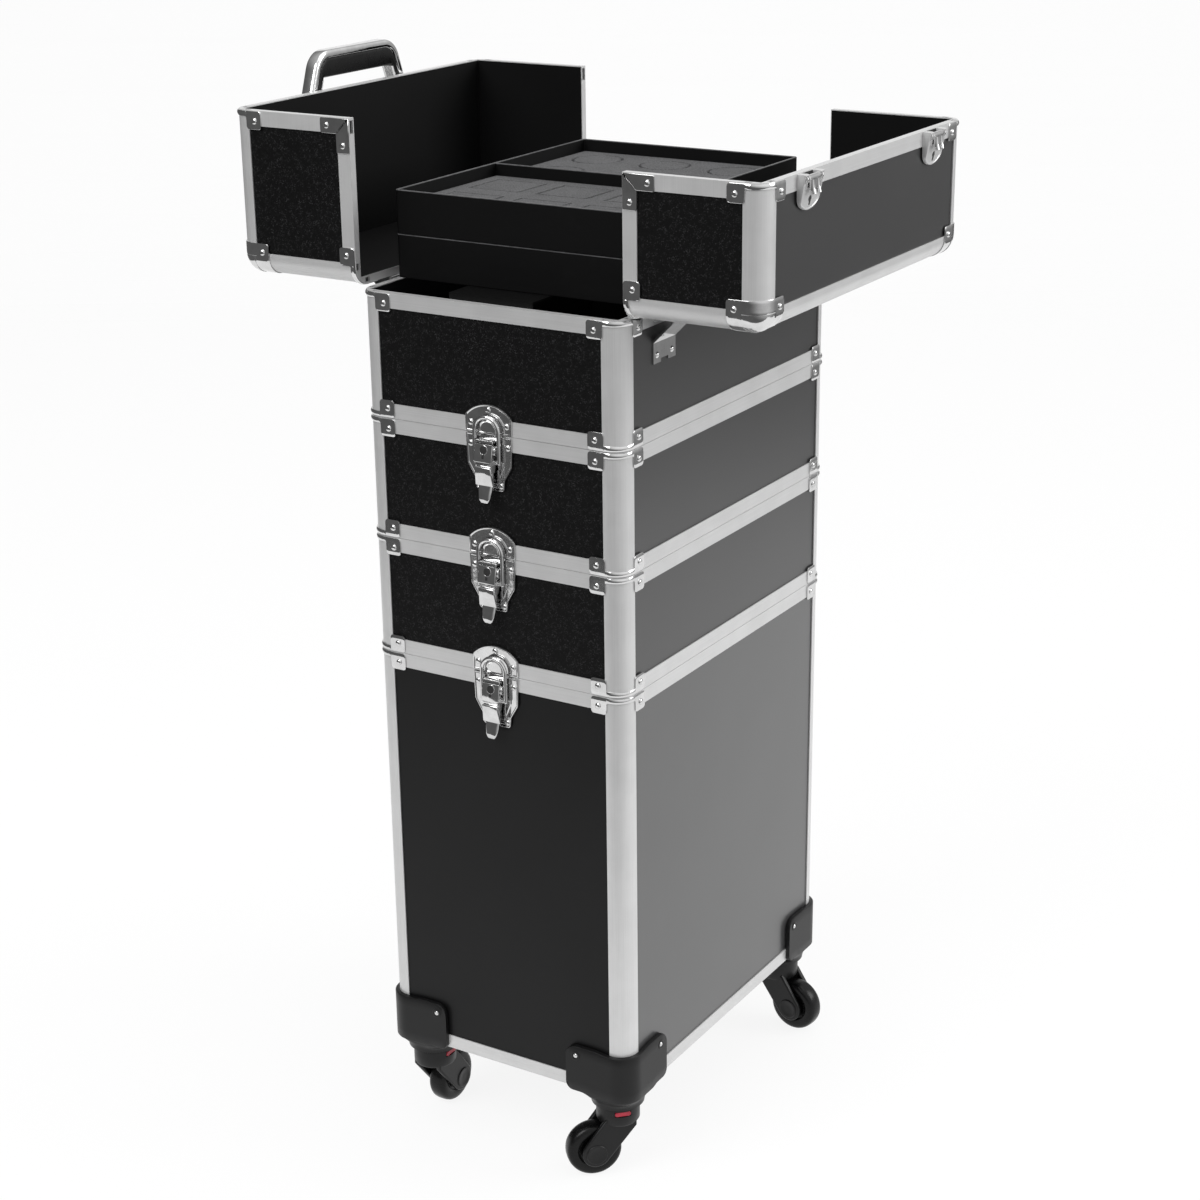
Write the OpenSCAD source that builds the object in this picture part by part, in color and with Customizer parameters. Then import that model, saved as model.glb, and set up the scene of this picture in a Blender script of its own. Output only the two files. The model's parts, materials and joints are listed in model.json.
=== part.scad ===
// Rolling makeup case: a bottom case on four swivel casters, two stacking tiers,
// and a top case with two side lids, a carrying handle and two stacked trays.
// Units are millimetres. X runs across the narrow front, Y from front to back, Z up from the floor.
// The lids are drawn open, as they stand on their stops.

/* [Case] */
// Width of the case across its narrow front
case_w = 250; // [220:5:320]
// Depth of the case from front to back
case_d = 360; // [320:5:440]
// Height of the bottom case
bottom_h = 377.2; // [250:0.1:480]
// Height of each stacking tier
tier_h = 103.8; // [85:0.1:160]
// Height of the top case below its lids
top_h = 105.4; // [85:0.1:160]
// Gap at each split between stacked sections
stack_gap = 0.3; // [0.3:0.1:0.8]

/* [Frame] */
// Width of a corner post on each face
post_leg = 18.3; // [17:0.1:24]
// Outer radius of a corner post
post_r = 16; // [10:0.5:16.5]
// Height of an edge rail
rail_h = 12.5; // [11:0.5:18]
// Wall of the posts and rails outside the panel
skin_t = 1; // [0.8:0.1:2]
// Wall of the posts and rails inside the panel
liner_t = 1.2; // [0.8:0.1:2]
// Thickness of a rail's web at the rim
rail_web = 2; // [1.5:0.1:4]
// Thickness of a wall panel
panel_t = 4; // [3:0.1:6]
// Clearance on each side of a panel in its channel
panel_clear = 0.1; // [0.05:0.05:0.3]
// Depth of the panel channel in a post
slot_depth = 6; // [4:0.5:8]
// Clearance where frame pieces butt together
joint_gap = 0.1; // [0.05:0.05:0.3]
// Thickness of the locating lip on a rim
lip_t = 1.5; // [1:0.1:3]
// Height of the locating lip above the rim
lip_h = 4; // [2:0.5:6]
// Clearance between a lip and the section above it
lip_clear = 0.4; // [0.3:0.1:1]
// Thickness of the floor boards
floor_t = 4; // [3:0.5:8]
// Height of a tier's floor above its lower edge
floor_up = 8; // [7:0.5:20]

/* [Corner brackets] */
// Thickness of the bracket sheet
bracket_t = 1; // [0.8:0.1:2]
// Length of a bracket's ear along the rail
ear_w = 15.3; // [12:0.1:20]
// Height of a bracket's ear
ear_h = 15; // [12:0.5:20]
// Corner radius of an ear
ear_r = 2.5; // [1:0.5:4]
// Height of the band round the post
band_h = 4.5; // [3:0.5:8]
// Distance of a bracket from the rim
bracket_in = 0.5; // [0.3:0.1:2]
// Leg of the flat corner bracket at a lid's open corner
flat_leg = 28; // [20:1:40]
// Reach of a ball corner along its posts
cap_reach = 33; // [26:1:45]
// Radius of a rivet head
rivet_r = 2.7; // [2:0.1:4]
// Height of a rivet head
rivet_h = 1.4; // [0.8:0.1:2]

/* [Lids] */
// Depth of each lid above the rim when it is closed
lid_h = 121; // [100:1:150]
// Width of the left lid, which carries the handle
left_lid_w = 136; // [115:0.5:150]
// Gap between the two closed lids
split_gap = 0.5; // [0.4:0.1:1]
// Gap between a closed lid and the rim
lid_gap = 0.6; // [0.5:0.1:1]
// Distance of the hinge axis outside the wall
hinge_out = 1.8; // [1.7:0.1:2.6]
// Distance of each hinge from the middle of the case
hinge_y = 113; // [90:1:125]
// Length of a hinge
hinge_len = 40; // [30:1:50]
// Radius of a hinge pin
hinge_pin_r = 0.8; // [0.6:0.1:1]
// Outer radius of a hinge knuckle
knuckle_r = 1.6; // [1.4:0.1:1.7]
// Thickness of the hinge sheet
leaf_t = 1.2; // [0.8:0.1:1.5]
// Height of a hinge leaf on its rail
leaf_h = 10; // [8:0.5:10.5]
// Gap between neighbouring knuckles
knuckle_gap = 0.4; // [0.3:0.1:0.8]
// Width of a lid stop bracket
stop_w = 35; // [25:1:45]
// Height of a stop bracket's foot
stop_foot_h = 17; // [14:1:24]
// Height of the notch in a stop bracket's foot
stop_notch = 3; // [2:0.5:5]
// Distance from the rim down to the bend of a stop bracket
stop_drop = 27; // [24:1:34]

/* [Lid latches] */
// Distance of each lid latch from the middle of the case
lid_latch_y = 113; // [90:1:125]
// Width of a lid latch
lid_latch_w = 32; // [26:1:40]
// Length of a lid latch plate from the split edge
lid_latch_l = 29; // [24:1:36]
// Length of the latch flap from its pivot
flap_l = 13; // [10:0.5:15]
// Height of the flap's pivot above the lid
flap_up = 4.6; // [4.4:0.1:6]

/* [Handle] */
// Distance between the handle's two pivots
handle_span = 144; // [120:2:170]
// Distance from the pivots to the far face of the bar
handle_reach = 64; // [50:1:80]
// Distance from the split edge to the pivots
handle_set = 32; // [26:1:40]
// Outer radius of the handle's bends
handle_bend = 22; // [20:1:26]
// Flare of the handle's legs in degrees
handle_flare = 20; // [5:1:30]
// Width of the handle's legs and bends
handle_leg = 13; // [10:0.5:13.5]
// Depth of the metal bar over the grip
handle_band = 10; // [8:0.5:12]
// Depth of the grip under the bar
grip_band = 13; // [10:0.5:16]
// Thickness of the metal
handle_t = 13; // [9:0.5:14]
// Thickness of the grip
grip_t = 12; // [7:0.5:13]
// Height of the pivot above the lid
handle_up = 8.5; // [8.5:0.5:12]
// Height of the bar's middle above the lid
handle_mid = 8.5; // [8.5:0.5:9.5]
// Radius of a handle pivot pin
handle_pin_r = 3; // [2:0.5:4]

/* [Stack latches] */
// Half width of a latch plate
latch_half = 22.5; // [18:0.5:28]
// Height of the upper latch plate above the split
keeper_h = 25; // [20:1:30]
// Length of the lower latch plate below the split
latch_l = 47; // [44:1:55]
// Thickness of the latch plates
latch_t = 1.2; // [0.8:0.1:2]
// Half width of the latch lever
lever_half = 8; // [7:0.5:8.5]
// Distance of the lever's pivot below the split
pivot_down = 12; // [11:0.5:14]
// Distance of the lever's pivot from the wall
pivot_out = 6.5; // [6.5:0.5:8]
// Distance of the bail's pivot below the split
bail_down = 22; // [20:0.5:24]
// Distance of the bail's wire from the wall
bail_out = 4.6; // [4.4:0.1:5]
// Radius of the bail's wire
wire_r = 1.75; // [1.5:0.05:1.8]
// Radius of the bail's bend, to the middle of the wire
bail_r = 11.65; // [11.6:0.05:13]
// Height of the bail's top above the split, to the middle of the wire
bail_top = 15; // [14:0.5:17]
// Clearance between the bail and the keeper under it
keeper_clear = 3; // [3:0.1:4]
// Radius of the pins in the latch
latch_pin_r = 1.5; // [1:0.1:1.6]
// Distance from the lever's pivot to its tip
lever_l = 44; // [40:1:50]

/* [Trays] */
// Width of a tray
tray_w = 219; // [180:1:222]
// Length of a tray
tray_l = 293; // [260:1:300]
// Height of a tray
tray_h = 36; // [25:0.5:40]
// Wall and floor of a tray
tray_t = 2; // [1.5:0.1:3]
// Height of the lower tray's underside above the rim
tray_up = 5.5; // [4:0.5:12]
// Thickness of the foam in the upper tray
foam_t = 24; // [8:0.5:30]
// Clearance round the foam
foam_clear = 0.3; // [0.3:0.1:1]
// Width of a tray support
support_w = 80; // [60:1:120]
// Thickness of a tray support
support_t = 1.5; // [1:0.1:2.5]
// Depth of a tray support below the rim
support_d = 34; // [28:1:45]
// Reach of a tray support under the tray
support_reach = 12; // [8:1:20]

/* [Casters] */
// Radius of a wheel
wheel_r = 25; // [20:1:28]
// Width of a wheel
wheel_w = 18; // [14:1:20]
// Radius of a wheel's hub
hub_r = 15; // [12:0.5:17]
// Radius of a wheel's axle
axle_r = 3; // [2:0.5:4]
// Offset of a wheel behind its swivel axis
trail = 23; // [20:1:26]
// Height from the axle to the top of the fork
fork_h = 45.5; // [44:0.5:55]
// Radius of the fork's collar
collar_r = 19.5; // [19:0.5:22]
// Thickness of the fork's cheeks
cheek_t = 5; // [4:0.5:6]
// Radius of the cheek's end round the axle
cheek_r = 13; // [11:0.5:15]
// Radius of the cap on the axle's ends
axle_cap_r = 9; // [7:0.5:10.5]
// Clearance on each side of the wheel in its fork
wheel_clear = 0.8; // [0.5:0.1:1.5]
// Radius of the swivel stem
stem_r = 5; // [4:0.5:7]
// Gap between fork and housing
swivel_gap = 0.5; // [0.4:0.1:1]
// Height of the housing's neck below the case
neck_h = 17; // [14:0.5:24]
// Radius of the housing's neck
neck_r = 24; // [22:0.5:25]
// Distance of the swivel axis from the case's side and end
swivel_in = 26; // [24:0.5:28]
// Wall of the housing round the corner
wrap_t = 4; // [3:0.5:5]
// Length of a housing's ear from the corner
wrap_l = 61; // [54:1:70]
// Height of a housing's ears above the case's lower edge
wrap_h = 43; // [40:1:50]
// Height of the housing at the post, above the case's lower edge
wrap_mid_h = 41; // [34:1:46]
// Width of the release bar
release_w = 14.4; // [10:0.2:16]
// Height of the release bar
release_h = 4.4; // [3:0.2:5]
// Clearance round the release bar
release_clear = 0.3; // [0.3:0.1:0.6]
// Radius of the rivets that hold a housing
housing_rivet_r = 3.2; // [2.5:0.1:4]

/* [Hidden] */
$fn = 64;
tiny = 0.01;
// Radial clearance of the pins in their holes, for turning and for fixed fits
run_clear = 0.05;
seat_clear = 0.02;

// Levels of the sections
base_z = wheel_r + fork_h + swivel_gap + neck_h;
lower_z = base_z + bottom_h + stack_gap;
upper_z = lower_z + tier_h + stack_gap;
top_z = upper_z + tier_h + stack_gap;
rim_z = top_z + top_h;
half_gap = stack_gap / 2;
lower_split = lower_z - half_gap;
middle_split = upper_z - half_gap;
upper_split = top_z - half_gap;

// Frame and panels
frame_t = skin_t + panel_t + 2 * panel_clear + liner_t;
slot_t = panel_t + 2 * panel_clear;
panel_in = skin_t + panel_clear;
half_w = case_w / 2;
half_l = case_d / 2;
rail_x = case_w - 2 * post_leg - 2 * joint_gap;
rail_y = case_d - 2 * post_leg - 2 * joint_gap;
panel_end = post_leg - slot_depth + joint_gap;
panel_edge = rail_web + joint_gap;

// Lids, in their closed places
lid_z = rim_z + lid_gap;
lid_top = lid_z + lid_h;
axis_x = half_w + hinge_out;
axis_z = rim_z + lid_gap / 2;
right_lid_w = case_w - left_lid_w - split_gap;

// Stack latches
plate_gap = half_gap + 0.3;
ear_gap = 0.4;
ear_sheet = 1.2;
keeper_r = bail_r - wire_r - 1.4;
keeper_top = bail_top - wire_r - keeper_clear;
keeper_out = bail_out - wire_r + 1.35;

// Trays
tray_z = rim_z + tray_up;
tray_gap = 0.3;
upper_tray_z = tray_z + tray_h + tray_gap;

// Casters
swivel_x = half_w - swivel_in;
swivel_y = half_l - swivel_in;
neck_z = base_z - neck_h;
fork_top = neck_z - swivel_gap;
collar_z = 2 * wheel_r + 2;
release_z = fork_top - 7.5;
cheek_in = wheel_w / 2 + wheel_clear;
stem_top = base_z - 2;
plate_corner = swivel_in + neck_r + 1;
housing_rivet_in = wrap_l - 10;
housing_rivet_z = base_z + wrap_h * 0.78;
// Trail directions of the casters, in degrees from +X
front_right_turn = 225;
front_left_turn = 90;
rear_right_turn = -8;
rear_left_turn = 145;

// Colours
board = [0.07, 0.07, 0.075];
satin = [0.8, 0.8, 0.81];
nickel = [0.62, 0.62, 0.62];
plastic = [0.05, 0.05, 0.055];
foam_grey = [0.2, 0.2, 0.2];
red = [0.72, 0.05, 0.1];

// Places

// Puts a piece at the four corners, with the corner at the origin and the case on its minus side
module at_corners() {
    for (ix = [0, 1], iy = [0, 1])
        mirror([ix, 0, 0]) mirror([0, iy, 0]) translate([half_w, half_l, 0]) children();
}

// Puts a piece on both narrow ends, with outward as +Y and the wall's outer face at the origin
module at_ends() {
    for (turn = [0, 180]) rotate([0, 0, turn]) translate([0, half_l, 0]) children();
}

// Puts a latch piece on one end, at one split
module at_split(front, split) {
    rotate([0, 0, front ? 180 : 0]) translate([0, half_l, split]) children();
}

// Puts a closed right-hand lid piece on a lid: side 1 is right, -1 is left, both turned open
module on_lid(side) {
    translate([side * axis_x, 0, axis_z])
        rotate([0, side * 90, 0])
            translate([-side * axis_x, 0, -axis_z])
                mirror([side < 0 ? 1 : 0, 0, 0]) children();
}

// Puts a piece on both sides of the middle, at a distance along Y
module both_y(distance) {
    for (y = [-distance, distance]) translate([0, y, 0]) children();
}

module mirror_y() {
    for (iy = [0, 1]) mirror([0, iy, 0]) children();
}

// Shared shapes

// A square with one round corner, which lies at the origin with the square on its minus side
module round_corner(size, r) {
    intersection() {
        translate([-size, -size]) square(size);
        union() {
            translate([-r, -r]) circle(r);
            translate([-size, -size]) square([size - r, size]);
            translate([-size, -size]) square([size, size - r]);
        }
    }
}

module round_plate(w, h, r) {
    translate([r, 0]) square([w - 2 * r, h]);
    translate([0, r]) square([w, h - 2 * r]);
    for (x = [r, w - r], y = [r, h - r]) translate([x, y]) circle(r);
}

// A domed rivet head standing on z = 0
module rivet(r = rivet_r, h = rivet_h) {
    ball_r = (r * r + h * h) / (2 * h);
    intersection() {
        translate([0, 0, h - ball_r]) sphere(ball_r);
        translate([-r - 1, -r - 1, 0]) cube([2 * r + 2, 2 * r + 2, h + 1]);
    }
}

// A rivet head on an upright face whose outward side is +Y
module wall_rivet(x, out, z) {
    translate([x, out, z]) rotate([-90, 0, 0]) rivet();
}

// Section of a corner post: a quarter round with a channel for each panel
module post_profile() {
    difference() {
        intersection() {
            round_corner(post_leg, post_r);
            union() {
                translate([-post_leg, -frame_t]) square([post_leg, frame_t]);
                translate([-frame_t, -post_leg]) square([frame_t, post_leg]);
            }
        }
        translate([-post_leg - 1, -skin_t - slot_t]) square([slot_depth + 1, slot_t]);
        translate([-skin_t - slot_t, -post_leg - 1]) square([slot_t, slot_depth + 1]);
    }
}

module post(length) {
    linear_extrude(length) post_profile();
}

// An edge rail along +X: outer face at y = 0, edge at z = 0, with a locating lip where asked
module rail(length, lip = false) {
    inner = frame_t - liner_t;
    lip_in = frame_t + lip_clear;
    lip_low = -lip_h - stack_gap;
    channel = [
        [0, 0], [0, rail_h], [-skin_t, rail_h], [-skin_t, rail_web],
        [-inner, rail_web], [-inner, rail_h], [-frame_t, rail_h]
    ];
    lipped = [
        [-frame_t, rail_web], [-lip_in - lip_t, rail_web], [-lip_in - lip_t, lip_low],
        [-lip_in, lip_low], [-lip_in, 0]
    ];
    rotate([90, 0, 90]) linear_extrude(length)
        polygon(concat(channel, lip ? lipped : [[-frame_t, 0]]));
}

// Four rails of a section's edge at z = 0, rising
module rail_ring(lip = false) {
    at_ends() translate([-rail_x / 2, 0, 0]) rail(rail_x, lip);
    for (turn = [0, 180])
        rotate([0, 0, turn]) translate([half_w, rail_y / 2, 0]) rotate([0, 0, -90]) rail(rail_y, lip);
}

// A bracket ear on the plane y = 0, standing out along +Y, from the post along -X
module bracket_ear() {
    translate([-post_r - ear_w, bracket_t, 0]) rotate([90, 0, 0]) linear_extrude(bracket_t)
        round_plate(ear_w, ear_h, ear_r);
}

// A two-eared corner bracket round the end of a post, with its rivets
module corner_bracket() {
    translate([0, 0, bracket_in]) {
        union() {
            linear_extrude(band_h) {
                intersection() {
                    difference() {
                        translate([-post_r, -post_r]) circle(post_r + bracket_t);
                        translate([-post_r, -post_r]) circle(post_r);
                    }
                    translate([-post_r, -post_r]) square(post_r + bracket_t + 1);
                }
                translate([-post_r - ear_w / 2, 0]) square([ear_w / 2, bracket_t]);
                translate([0, -post_r - ear_w / 2]) square([bracket_t, ear_w / 2]);
            }
            bracket_ear();
            mirror([1, -1, 0]) bracket_ear();
        }
        wall_rivet(-post_r - ear_w / 2 - 1, bracket_t, ear_h / 2 + 1);
        mirror([1, -1, 0]) wall_rivet(-post_r - ear_w / 2 - 1, bracket_t, ear_h / 2 + 1);
    }
}

// Sections of the case

module section_panels(z, h, floor_z) {
    panel_h = h - 2 * panel_edge;
    end_w = case_w - 2 * panel_end;
    side_l = case_d - 2 * panel_end;
    at_ends()
        translate([-end_w / 2, -panel_in - panel_t, z + panel_edge]) cube([end_w, panel_t, panel_h]);
    for (turn = [0, 180])
        rotate([0, 0, turn])
            translate([half_w - panel_in - panel_t, -side_l / 2, z + panel_edge])
                cube([panel_t, side_l, panel_h]);
    if (floor_z > 0) floor_board(z + floor_z);
}

module floor_board(z) {
    inner_w = case_w - 2 * frame_t - 2 * joint_gap;
    inner_l = case_d - 2 * frame_t - 2 * joint_gap;
    translate([-inner_w / 2, -inner_l / 2, z]) cube([inner_w, inner_l, floor_t]);
}

module section_frame(z, h, lip) {
    at_corners() translate([0, 0, z]) post(h);
    translate([0, 0, z]) rail_ring();
    translate([0, 0, z + h]) mirror([0, 0, 1]) rail_ring(lip);
}

module section_brackets(z, h, low = true) {
    at_corners() translate([0, 0, z + h]) mirror([0, 0, 1]) corner_bracket();
    if (low) at_corners() translate([0, 0, z]) corner_bracket();
}

module bottom_case_panels() { color(board) section_panels(base_z, bottom_h, 0); }
module bottom_case_frame() { color(satin) section_frame(base_z, bottom_h, true); }
module lower_tier_panels() { color(board) section_panels(lower_z, tier_h, floor_up); }
module lower_tier_frame() { color(satin) section_frame(lower_z, tier_h, true); }
module lower_tier_brackets() { color(nickel) section_brackets(lower_z, tier_h); }
module upper_tier_panels() { color(board) section_panels(upper_z, tier_h, floor_up); }
module upper_tier_frame() { color(satin) section_frame(upper_z, tier_h, true); }
module upper_tier_brackets() { color(nickel) section_brackets(upper_z, tier_h); }
module top_case_panels() { color(board) section_panels(top_z, top_h, floor_up); }
module top_case_frame() { color(satin) section_frame(top_z, top_h, false); }
module top_case_brackets() { color(nickel) section_brackets(top_z, top_h); }

// The base board is notched at its corners for the caster housings
module bottom_case_base() {
    color(board) difference() {
        floor_board(base_z);
        at_corners()
            translate([-plate_corner, -plate_corner, base_z - 1]) cube([plate_corner, plate_corner, floor_t + 2]);
    }
}

// The bottom case has brackets at its rim, and rivets that hold the caster housings
module bottom_case_brackets() {
    rivet_l = panel_in + wrap_t - 1.5;
    color(nickel) {
        section_brackets(base_z, bottom_h, false);
        at_corners() {
            translate([-housing_rivet_in, -panel_in, housing_rivet_z])
                rotate([-90, 0, 0]) cylinder(r = housing_rivet_r, h = rivet_l);
            translate([-panel_in, -housing_rivet_in, housing_rivet_z])
                rotate([0, 90, 0]) cylinder(r = housing_rivet_r, h = rivet_l);
        }
    }
}

// Stack latches, with outward as +Y and the split at z = 0

module keeper_plate() {
    dome_r = latch_half * 1.35;
    difference() {
        union() {
            translate([0, latch_t, 0]) rotate([90, 0, 0]) linear_extrude(latch_t) intersection() {
                translate([-latch_half, plate_gap]) square([2 * latch_half, keeper_h]);
                translate([0, keeper_h - dome_r]) circle(dome_r);
            }
            translate([0, keeper_out, 0]) rotate([90, 0, 0]) linear_extrude(keeper_out) intersection() {
                union() {
                    translate([0, keeper_top - keeper_r]) circle(keeper_r);
                    translate([-keeper_r, 0]) square([2 * keeper_r, max(tiny, keeper_top - keeper_r)]);
                }
                translate([-latch_half, plate_gap]) square([2 * latch_half, keeper_h]);
            }
        }
    }
    wall_rivet(0, latch_t, keeper_h - 4.5);
    for (x = [-1, 1]) wall_rivet(x * (latch_half - 5), latch_t, keeper_h / 3);
}

// An ear of the latch base that holds the lever's pin
module latch_ear() {
    rotate([90, 0, 90]) linear_extrude(ear_sheet) {
        translate([pivot_out, -pivot_down]) circle(4);
        translate([tiny, -pivot_down - 4]) square([pivot_out - tiny, 8]);
    }
}

module latch_base() {
    taper_z = latch_l * 0.55;
    foot_half = latch_half * 0.64;
    ear_x = lever_half + ear_gap;
    color(nickel) {
        difference() {
            union() {
                translate([0, latch_t, 0]) rotate([90, 0, 0]) linear_extrude(latch_t) polygon([
                    [-latch_half, -plate_gap], [latch_half, -plate_gap], [latch_half - 1, -taper_z],
                    [foot_half, -latch_l * 0.8], [foot_half - 1, -latch_l], [-foot_half + 1, -latch_l],
                    [-foot_half, -latch_l * 0.8], [-latch_half + 1, -taper_z]
                ]);
                translate([ear_x, 0, 0]) latch_ear();
                translate([-ear_x - ear_sheet, 0, 0]) latch_ear();
            }
            translate([-latch_half, pivot_out, -pivot_down])
                rotate([0, 90, 0]) cylinder(r = latch_pin_r + seat_clear, h = 2 * latch_half);
        }
        translate([-ear_x - ear_sheet, pivot_out, -pivot_down])
            rotate([0, 90, 0]) cylinder(r = latch_pin_r, h = 2 * (ear_x + ear_sheet));
        for (x = [-1, 1]) {
            wall_rivet(x * (latch_half - 5), latch_t, -latch_l * 0.2);
            wall_rivet(x * (foot_half - 3.5), latch_t, -latch_l * 0.88);
        }
    }
}

// The lever: two side cheeks, a face plate with a keyhole and a turned-out tongue
module latch_lever() {
    cheek = 1.2;
    face_in = pivot_out + 2.6;
    face_t = 1.2;
    low = bail_down + 8;
    tip = pivot_down + lever_l;
    tongue_half = lever_half - 2;
    color(nickel) difference() {
        union() {
            for (x = [-lever_half, lever_half - cheek])
                translate([x, 0, 0]) rotate([90, 0, 90]) linear_extrude(cheek) polygon([
                    [latch_t + 1.6, -pivot_down + 3], [face_in + face_t, -pivot_down + 7],
                    [face_in + face_t, -low], [latch_t + 1.6, -low]
                ]);
            translate([-lever_half, face_in, -low]) cube([2 * lever_half, face_t, low - pivot_down + 7]);
            rotate([90, 0, 90]) translate([0, 0, -tongue_half]) linear_extrude(2 * tongue_half) polygon([
                [latch_t + 3, -low + 2], [face_in + face_t, -low + 2], [face_in + face_t + 2.2, -low - 9],
                [face_in + face_t + 0.6, -tip], [face_in - 1, -tip], [face_in - 1.4, -low - 8],
                [latch_t + 3, -low]
            ]);
        }
        translate([-latch_half, pivot_out, -pivot_down])
            rotate([0, 90, 0]) cylinder(r = latch_pin_r + run_clear, h = 2 * latch_half);
        translate([-latch_half, bail_out, -bail_down])
            rotate([0, 90, 0]) cylinder(r = latch_pin_r + run_clear, h = 2 * latch_half);
        translate([0, face_in - 1, -pivot_down - 1]) rotate([-90, 0, 0]) cylinder(r = 1.6, h = face_t + 2);
        translate([-0.7, face_in - 1, -pivot_down - 5]) cube([1.4, face_t + 2, 4]);
    }
}

// The wire bail: two pins into the lever, two legs and a half-round top
module latch_bail() {
    bend_z = bail_top - bail_r;
    pin_in = lever_half - 1;
    color(nickel) translate([0, bail_out, 0]) union() {
        for (x = [-1, 1]) {
            translate([x * bail_r, 0, -bail_down]) cylinder(r = wire_r, h = bend_z + bail_down);
            translate([x * bail_r, 0, -bail_down]) sphere(wire_r);
            translate([x > 0 ? pin_in : -bail_r, 0, -bail_down])
                rotate([0, 90, 0]) cylinder(r = latch_pin_r, h = bail_r - pin_in);
        }
        translate([0, 0, bend_z]) rotate([90, 0, 0]) rotate_extrude(angle = 180)
            translate([bail_r, 0]) circle(wire_r);
    }
}

module latch_bases(split) { at_ends() translate([0, 0, split]) latch_base(); }
module latch_keepers(split) { color(nickel) at_ends() translate([0, 0, split]) keeper_plate(); }

module bottom_latch_bases() { latch_bases(lower_split); }
module lower_tier_latch_plates() {
    latch_keepers(lower_split);
    latch_bases(middle_split);
}
module upper_tier_latch_plates() {
    latch_keepers(middle_split);
    latch_bases(upper_split);
}
module top_case_latch_keepers() { latch_keepers(upper_split); }

module front_lower_latch_lever() { at_split(true, lower_split) latch_lever(); }
module front_middle_latch_lever() { at_split(true, middle_split) latch_lever(); }
module front_upper_latch_lever() { at_split(true, upper_split) latch_lever(); }
module rear_lower_latch_lever() { at_split(false, lower_split) latch_lever(); }
module rear_middle_latch_lever() { at_split(false, middle_split) latch_lever(); }
module rear_upper_latch_lever() { at_split(false, upper_split) latch_lever(); }
module front_lower_latch_bail() { at_split(true, lower_split) latch_bail(); }
module front_middle_latch_bail() { at_split(true, middle_split) latch_bail(); }
module front_upper_latch_bail() { at_split(true, upper_split) latch_bail(); }
module rear_lower_latch_bail() { at_split(false, lower_split) latch_bail(); }
module rear_middle_latch_bail() { at_split(false, middle_split) latch_bail(); }
module rear_upper_latch_bail() { at_split(false, upper_split) latch_bail(); }

// Lid hinges, in the right lid's closed place

// One knuckle round the hinge axis, from y0 to y1
module knuckle(y0, y1, bore) {
    translate([axis_x, y1, axis_z]) rotate([90, 0, 0]) difference() {
        cylinder(r = knuckle_r, h = y1 - y0);
        translate([0, 0, -1]) cylinder(r = bore, h = y1 - y0 + 2);
    }
}

// Leaf on the rim rail with two outer knuckles, and the pin
module box_leaf() {
    third = hinge_len / 3;
    bore = hinge_pin_r + seat_clear;
    for (y0 = [-hinge_len / 2, hinge_len / 2 - third]) union() {
        knuckle(y0, y0 + third, bore);
        difference() {
            translate([half_w, y0, axis_z - knuckle_r]) cube([hinge_out, third, knuckle_r * 0.6]);
            translate([axis_x, y0 - 1, axis_z]) rotate([-90, 0, 0]) cylinder(r = bore, h = third + 2);
        }
        translate([half_w, y0, rim_z - leaf_h]) cube([leaf_t, third, leaf_h - lid_gap]);
    }
    translate([axis_x, hinge_len / 2, axis_z]) rotate([90, 0, 0]) cylinder(r = hinge_pin_r, h = hinge_len);
}

// Bracket below the rim whose bent flange stops the open lid
module stop_bracket() {
    bend_z = rim_z - stop_drop;
    face = half_w - panel_in;
    flange_top = axis_z + hinge_out + panel_in - 0.3;
    rise = flange_top - bend_z;
    difference() {
        translate([0, stop_w / 2, 0]) rotate([90, 0, 0]) linear_extrude(stop_w) polygon([
            [face, bend_z - stop_foot_h], [face + leaf_t, bend_z - stop_foot_h], [face + leaf_t, bend_z],
            [face + leaf_t + rise, flange_top], [face + rise, flange_top], [face, bend_z + leaf_t]
        ]);
        translate([face - 1, -stop_w / 6, bend_z - stop_foot_h - 1]) cube([leaf_t + 2, stop_w / 3, stop_notch + 1]);
    }
    both_y(stop_w / 3) translate([face + leaf_t, 0, bend_z - stop_foot_h * 0.6]) rotate([0, 90, 0]) rivet();
}

module lid_hinge_box_leaves() {
    color(nickel) for (ix = [0, 1]) mirror([ix, 0, 0]) both_y(hinge_y) {
        box_leaf();
        stop_bracket();
    }
}

// Leaf on the lid's rail with the middle knuckle
module lid_leaf() {
    length = hinge_len / 3 - 2 * knuckle_gap;
    bore = hinge_pin_r + run_clear;
    union() {
        knuckle(-length / 2, length / 2, bore);
        difference() {
            translate([half_w, -length / 2, axis_z + knuckle_r * 0.4]) cube([hinge_out, length, knuckle_r * 0.6]);
            translate([axis_x, -length / 2 - 1, axis_z]) rotate([-90, 0, 0]) cylinder(r = bore, h = length + 2);
        }
        translate([half_w, -length / 2, lid_z + lid_gap]) cube([leaf_t, length, leaf_h - lid_gap]);
    }
}

module left_hinge_leaves() { color(nickel) on_lid(-1) both_y(hinge_y) lid_leaf(); }
module right_hinge_leaves() { color(nickel) on_lid(1) both_y(hinge_y) lid_leaf(); }

// Lids, in the right lid's closed place, with w as the lid's width

// Cuts away the ball corners' room from the lid's panels
module less_caps() {
    difference() {
        children();
        mirror_y() translate([half_w, half_l, lid_top])
            translate([-post_leg, -post_leg, -post_leg]) cube(post_leg + 1);
    }
}

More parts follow.
